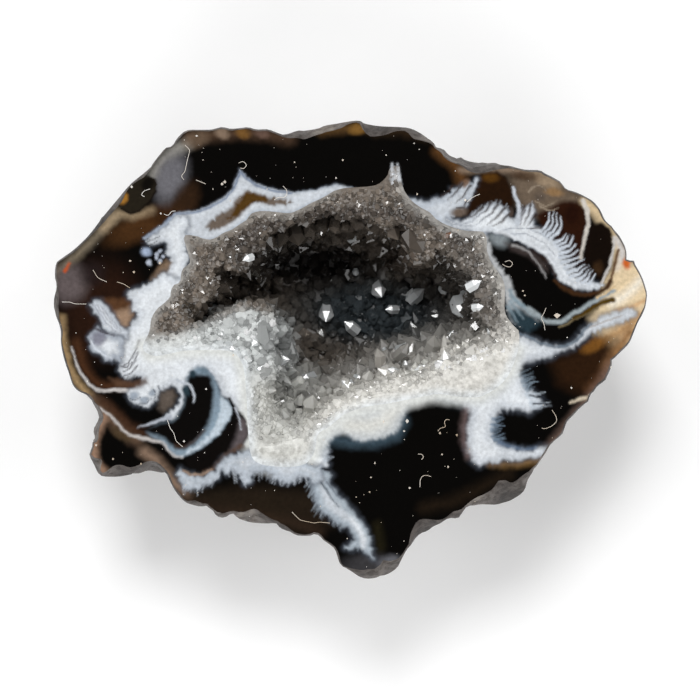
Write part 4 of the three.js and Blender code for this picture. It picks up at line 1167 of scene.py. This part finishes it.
def glint_crystals(wall):
    """Crystals with one end face turned so that the main light shines back to the camera."""
    x, y, width = np.array(GLINTS, float).T
    count = len(x)
    half = KEY_WAY / np.linalg.norm(KEY_WAY) + (0, 0, 1)
    half = np.tile(half / np.linalg.norm(half), (count, 1)) + rng.normal(0, 0.02, (count, 3))
    half /= np.linalg.norm(half, axis=1, keepdims=True)
    first, second = axis_sides(half)
    turn = rng.uniform(0, math.tau, (count, 1))
    aside = first * np.cos(turn) + second * np.sin(turn)
    lean = math.atan2(1.25, math.cos(math.pi / 6))
    axes = half * math.cos(lean) + aside * math.sin(lean)
    radial = half - axes * (half * axes).sum(axis=1, keepdims=True)
    side, other = axis_sides(axes)
    spins = np.arctan2((radial * other).sum(axis=1), (radial * side).sum(axis=1)) - math.pi / 6
    radii = width / PX_PER_MM * 0.72
    places = to_mm(np.column_stack([x, y]))
    facet = lift(places, np.minimum(wall_height(places, wall) + 0.9 + radii, HEIGHT - 0.3))
    radial /= np.linalg.norm(radial, axis=1, keepdims=True)
    stems, tips = radii * 0.5, radii * 1.25
    middle = axes * (stems + tips * 0.4)[:, None] + radial * (radii * 0.52)[:, None]
    return crystal_arrays(facet - middle, axes, radii, stems, tips, spins, np.zeros((count, 2)))


def crust_body():
    """The crust without its crystals: cut top, wall of the hollow and back."""
    edge = resample(to_mm(CRUST_EDGE), RIM_STEP)
    mouth = resample(to_mm(MOUTH), RIM_STEP)
    flat, triangles = flat_ring(edge, mouth, CRUST_STEP)
    to_mouth, _ = line_field(flat, np.vstack([mouth, mouth[:1]]))
    to_edge, _ = line_field(flat, np.vstack([edge, edge[:1]]))
    upper = smoothstep(-1.0, 4.0, flat[:, 1])
    grain = np.clip(noise(flat, 0.45, 41) + 0.2, 0, None) * np.maximum(smoothstep(3.0, 0.5, to_mouth), upper)
    sink = 0.35 * smoothstep(1.2, 0.0, to_mouth) + 0.9 * shelf_share(flat) + 0.3 * upper
    flat = lift(flat, HEIGHT - (0.16 * grain + sink) * smoothstep(0.0, 1.0, to_edge))
    faces = triangles.tolist()
    outer_count, inner_count = len(edge), len(mouth)
    rings = [flat[outer_count:outer_count + inner_count]]
    previous, total = outer_count, len(flat)
    for step in range(1, WALL_STEPS + 1):
        ring = wall_ring(mouth, HOLLOW_DEPTH, step / WALL_STEPS)
        ring += 0.25 * np.column_stack([noise(ring, 1.3, seed) for seed in (51, 52, 53)])
        ring[:, 2] = np.minimum(ring[:, 2], rings[-1][:, 2] - 0.05)
        rings.append(ring)
        faces += strip(previous, total, inner_count)
        previous, total = total, total + inner_count
    places = [flat] + rings[1:]
    places.append([np.append(FLOOR_MIDDLE, HEIGHT - HOLLOW_DEPTH)])
    rings.append(np.tile(places[-1], (inner_count, 1)))
    faces += [(previous + (i + 1) % inner_count, previous + i, total) for i in range(inner_count)]
    total += 1
    previous = 0
    for step in range(1, BACK_STEPS + 1):
        places.append(wall_ring(edge, HOLLOW_DEPTH + CRUST_FLOOR - BACK_GAP, step / BACK_STEPS))
        faces += strip(total, previous, outer_count)
        previous, total = total, total + outer_count
    places.append([np.append(FLOOR_MIDDLE, HEIGHT - HOLLOW_DEPTH - CRUST_FLOOR + BACK_GAP)])
    faces += [(previous + i, previous + (i + 1) % outer_count, total) for i in range(outer_count)]
    return np.vstack(places), faces, rings, flat, mouth


def crystal_kinds(crystals):
    """Which material each crystal has: milky near the face, clear in the deep."""
    depth = HEIGHT - crystals[:, -1, 2]
    return np.where(depth + rng.normal(0, 1.0, len(depth)) > CLEAR_DEPTH, 2, 1)


def build_crust(crust_material, milky_material, clear_material):
    """The quartz crust with all its crystals."""
    places, faces, rings, flat, mouth = crust_body()
    wall = np.vstack(rings)
    groups = [wall_crystals(rings), rim_crystals(flat, mouth), big_crystals(wall), glint_crystals(wall)]
    tones = [rng.uniform(low, high, len(group)) for group, (low, high) in zip(groups, CRYSTAL_TONES)]
    crystals = np.vstack(groups)
    count = len(crystals)
    crystals[:, :, 2] = np.minimum(crystals[:, :, 2], HEIGHT - rng.uniform(0.01, 0.15, (count, 1)))
    kinds = [0] * len(faces) + np.repeat(crystal_kinds(crystals), CRYSTAL_FACES).tolist()
    faces = faces + crystal_faces(len(places), count)
    colours = paint_crust(to_pixels(places[:, :2]))
    middles = crystals.mean(axis=1)[:, :2]
    pale = smoothstep(-1.0, -4.0, middles[:, 1])
    crystal_colours = paint_crust(to_pixels(middles)) * (np.concatenate(tones) ** (1 - 0.6 * pale))[:, None]
    # The glinting crystals are painted near white all over: a painted glint
    crystal_colours[-len(GLINTS):] = linear(*PAINTED_GLINT_COLOUR)
    colours = np.clip(np.vstack([colours, np.repeat(crystal_colours, CRYSTAL_POINTS, axis=0)]), 0, 0.85)
    places = np.vstack([places, crystals.reshape(-1, 3)])
    return make_piece("quartz_crust", places, faces, [crust_material, milky_material, clear_material],
                      colours, kinds)


# Lint and dust


def tube(points, radius):
    """A thin closed tube with five sides along points in millimetres."""
    points = np.asarray(points)
    along = np.gradient(points, axis=0)
    along /= np.linalg.norm(along, axis=1, keepdims=True)
    side = np.cross(along, (0, 0, 1))
    side /= np.linalg.norm(side, axis=1, keepdims=True)
    rise = np.cross(side, along)
    ring = []
    for corner in range(5):
        angle = corner * math.tau / 5
        ring.append(points + radius * (side * math.cos(angle) + rise * math.sin(angle)))
    places = np.stack(ring, axis=1).reshape(-1, 3)
    faces = []
    for i in range(len(points) - 1):
        for corner in range(5):
            after = (corner + 1) % 5
            faces.append((i * 5 + corner, i * 5 + after, (i + 1) * 5 + after, (i + 1) * 5 + corner))
    faces.append(tuple(reversed(range(5))))
    faces.append(tuple(range(len(places) - 5, len(places))))
    return places, faces


def open_curve(points, step):
    """Even steps along an open smooth curve through the points."""
    points = np.asarray(points, float)
    along = np.concatenate([[0], np.cumsum(np.linalg.norm(np.diff(points, axis=0), axis=1))])
    stops = np.arange(0, along[-1], step)
    line = np.stack([np.interp(stops, along, points[:, axis]) for axis in (0, 1)], axis=1)
    for _ in range(6):
        line[1:-1] = (line[:-2] + 2 * line[1:-1] + line[2:]) / 4
    return line


def build_lint(material):
    """Fibres and specks on the cut face."""
    places, faces, total = [], [], 0
    for points in FIBRES:
        line = open_curve(to_mm(points), 0.08)
        height = HEIGHT + 0.04 + 0.08 * np.sin(np.linspace(0, math.pi, len(line)))
        new_places, new_faces = tube(lift(line, height), FIBRE_RADIUS)
        places.append(new_places)
        faces += [tuple(total + i for i in face) for face in new_faces]
        total += len(new_places)
    specks = list(SPECKS)
    outline = np.asarray(OUTLINE, float)
    crust = np.asarray(CRUST_EDGE, float)
    while len(specks) < SPECK_COUNT:
        spot = rng.uniform((55, 120), (645, 580))
        size = 0.4 * rng.pareto(3.0) + 0.3
        if inside(spot[None], outline)[0] and not inside(spot[None], crust)[0]:
            specks.append((spot[0], spot[1], min(size, 1.4)))
    corners = np.array([(1, 0, 0), (0, 1, 0), (-1, 0, 0), (0, -1, 0), (0, 0, 0.7), (0, 0, -0.3)], float)
    shape = [(0, 1, 4), (1, 2, 4), (2, 3, 4), (3, 0, 4), (1, 0, 5), (2, 1, 5), (3, 2, 5), (0, 3, 5)]
    for x, y, size in specks:
        middle = np.append(to_mm([(x, y)])[0], HEIGHT + 0.02)
        places.append(middle + corners * rng.uniform(0.6, 1.2, (6, 1)) * size / PX_PER_MM)
        faces += [tuple(total + i for i in face) for face in shape]
        total += 6
    return make_piece("surface_lint", np.vstack(places), faces, [material])


# Materials


def new_material(name):
    material = bpy.data.materials.new(name)
    material.use_nodes = True
    nodes = material.node_tree.nodes
    return material, nodes, material.node_tree.links, nodes["Principled BSDF"]


def paint_colour(nodes):
    attribute = nodes.new("ShaderNodeAttribute")
    attribute.attribute_name = "paint"
    return attribute.outputs["Color"]


def noise_node(nodes, links, scale, detail=4.0, rough=0.55):
    place = nodes.new("ShaderNodeTexCoord")
    node = nodes.new("ShaderNodeTexNoise")
    node.inputs["Scale"].default_value = scale
    node.inputs["Detail"].default_value = detail
    node.inputs["Roughness"].default_value = rough
    links.new(place.outputs["Object"], node.inputs["Vector"])
    return node.outputs["Fac"]


def ramp_node(nodes, links, value, stops):
    node = nodes.new("ShaderNodeValToRGB")
    elements = node.color_ramp.elements
    while len(elements) < len(stops):
        elements.new(0.5)
    for element, (place, colour) in zip(elements, stops):
        element.position = place
        element.color = (*linear(*colour), 1)
    links.new(value, node.inputs["Fac"])
    return node.outputs["Color"]


def range_node(nodes, links, value, low, high):
    node = nodes.new("ShaderNodeMapRange")
    node.inputs["To Min"].default_value = low
    node.inputs["To Max"].default_value = high
    links.new(value, node.inputs["Value"])
    return node.outputs["Result"]


def bump_node(nodes, links, value, strength, distance):
    node = nodes.new("ShaderNodeBump")
    node.inputs["Strength"].default_value = strength
    node.inputs["Distance"].default_value = distance
    links.new(value, node.inputs["Height"])
    return node.outputs["Normal"]


def multiply_node(nodes, links, first, second):
    node = nodes.new("ShaderNodeMix")
    node.data_type = "RGBA"
    node.blend_type = "MULTIPLY"
    node.inputs["Factor"].default_value = 1.0
    links.new(first, node.inputs["A"])
    links.new(second, node.inputs["B"])
    return node.outputs["Result"]


def polished_agate():
    material, nodes, links, shader = new_material("polished_agate")
    fine = ramp_node(nodes, links, noise_node(nodes, links, 2600),
                     [(0.3, (225, 225, 225)), (0.7, (255, 255, 255))])
    links.new(multiply_node(nodes, links, paint_colour(nodes), fine), shader.inputs["Base Color"])
    links.new(range_node(nodes, links, noise_node(nodes, links, 900), 0.04, 0.11), shader.inputs["Roughness"])
    shader.inputs["IOR"].default_value = AGATE_IOR
    return material


def rough_rind():
    material, nodes, links, shader = new_material("rough_rind")
    patches = ramp_node(nodes, links, noise_node(nodes, links, 190, 8, 0.62),
                        [(0.3, (40, 34, 31)), (0.45, (72, 65, 61)), (0.58, (100, 94, 90)),
                         (0.75, (142, 134, 124))])
    specks = ramp_node(nodes, links, noise_node(nodes, links, 1500, 3),
                       [(0.36, (158, 146, 136)), (0.58, (255, 255, 255))])
    links.new(multiply_node(nodes, links, patches, specks), shader.inputs["Base Color"])
    links.new(range_node(nodes, links, noise_node(nodes, links, 600), 0.35, 0.75), shader.inputs["Roughness"])
    bump = bump_node(nodes, links, noise_node(nodes, links, 1100, 6, 0.65), 0.6, 0.0004)
    links.new(bump, shader.inputs["Normal"])
    return material


def sugary_quartz():
    material, nodes, links, shader = new_material("sugary_quartz")
    grains = ramp_node(nodes, links, noise_node(nodes, links, 2200, 5),
                       [(0.3, (205, 204, 202)), (0.6, (255, 255, 255))])
    links.new(multiply_node(nodes, links, paint_colour(nodes), grains), shader.inputs["Base Color"])
    links.new(range_node(nodes, links, noise_node(nodes, links, 1500), 0.2, 0.5), shader.inputs["Roughness"])
    links.new(bump_node(nodes, links, noise_node(nodes, links, 3000, 3), 0.4, 0.0002),
              shader.inputs["Normal"])
    shader.inputs["IOR"].default_value = QUARTZ_IOR
    return material


def crystal_quartz(name, smooth, rough, transmission):
    """See-through quartz, more or less milky."""
    material, nodes, links, shader = new_material(name)
    links.new(paint_colour(nodes), shader.inputs["Base Color"])
    links.new(range_node(nodes, links, noise_node(nodes, links, 1200), smooth, rough),
              shader.inputs["Roughness"])
    shader.inputs["IOR"].default_value = QUARTZ_IOR
    shader.inputs["Transmission Weight"].default_value = transmission
    return material


def pale_lint():
    material, nodes, links, shader = new_material("pale_lint")
    tint = ramp_node(nodes, links, noise_node(nodes, links, 120),
                     [(0.35, (196, 176, 150)), (0.6, (236, 232, 226))])
    links.new(tint, shader.inputs["Base Color"])
    links.new(range_node(nodes, links, noise_node(nodes, links, 800), 0.6, 0.9), shader.inputs["Roughness"])
    return material


def floor_material():
    material, nodes, links, shader = new_material("pale_floor")
    tint = ramp_node(nodes, links, noise_node(nodes, links, 30),
                     [(0.3, (247, 247, 247)), (0.7, (251, 251, 251))])
    links.new(tint, shader.inputs["Base Color"])
    shader.inputs["Roughness"].default_value = 0.9
    shader.inputs["Specular IOR Level"].default_value = 0.0
    return material


# Stage


def build_stage():
    """Floor, camera and surroundings."""
    bpy.ops.mesh.primitive_plane_add(size=4.0, location=(0, 0, -0.0001))
    floor = bpy.context.object
    floor.name = "floor"
    floor.data.materials.append(floor_material())
    camera = bpy.data.objects.new("camera", bpy.data.cameras.new("camera"))
    bpy.context.collection.objects.link(camera)
    camera.data.lens = CAMERA_LENS
    camera.data.sensor_width = CAMERA_SENSOR
    distance = VIEW_WIDTH * CAMERA_LENS / CAMERA_SENSOR
    camera.location = (0, 0, (HEIGHT + distance) / 1000)
    camera.data.clip_start = 0.01
    bpy.context.scene.camera = camera
    world = bpy.data.worlds.new("studio")
    bpy.context.scene.world = world
    world.use_nodes = True
    world.node_tree.nodes["Background"].inputs["Color"].default_value = (1, 1, 1, 1)
    world.node_tree.nodes["Background"].inputs["Strength"].default_value = WORLD_STRENGTH
    bpy.context.scene.view_settings.view_transform = "Standard"


def add_light(name, direction, distance, size, power):
    """A square soft light that looks at the stone from a direction."""
    way = Vector(direction).normalized()
    lamp = bpy.data.lights.new(name, "AREA")
    lamp.size = size
    lamp.energy = power
    light = bpy.data.objects.new(name, lamp)
    light.location = way * distance
    light.rotation_mode = "QUATERNION"
    light.rotation_quaternion = (-way).to_track_quat("-Z", "Y")
    bpy.context.collection.objects.link(light)


def build_lights():
    for light in LIGHTS:
        add_light(*light)


build_stage()
build_lights()

shell = build_shell(polished_agate(), rough_rind())
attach(shell, "root")
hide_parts("agate_shell")

crust = build_crust(
    sugary_quartz(), crystal_quartz("milky_quartz", 0.05, 0.2, 0.2),
    crystal_quartz("clear_quartz", 0.02, 0.1, 0.5))
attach(crust, "root")
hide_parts("crystal_crust")

lint = build_lint(pale_lint())
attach(lint, "root")
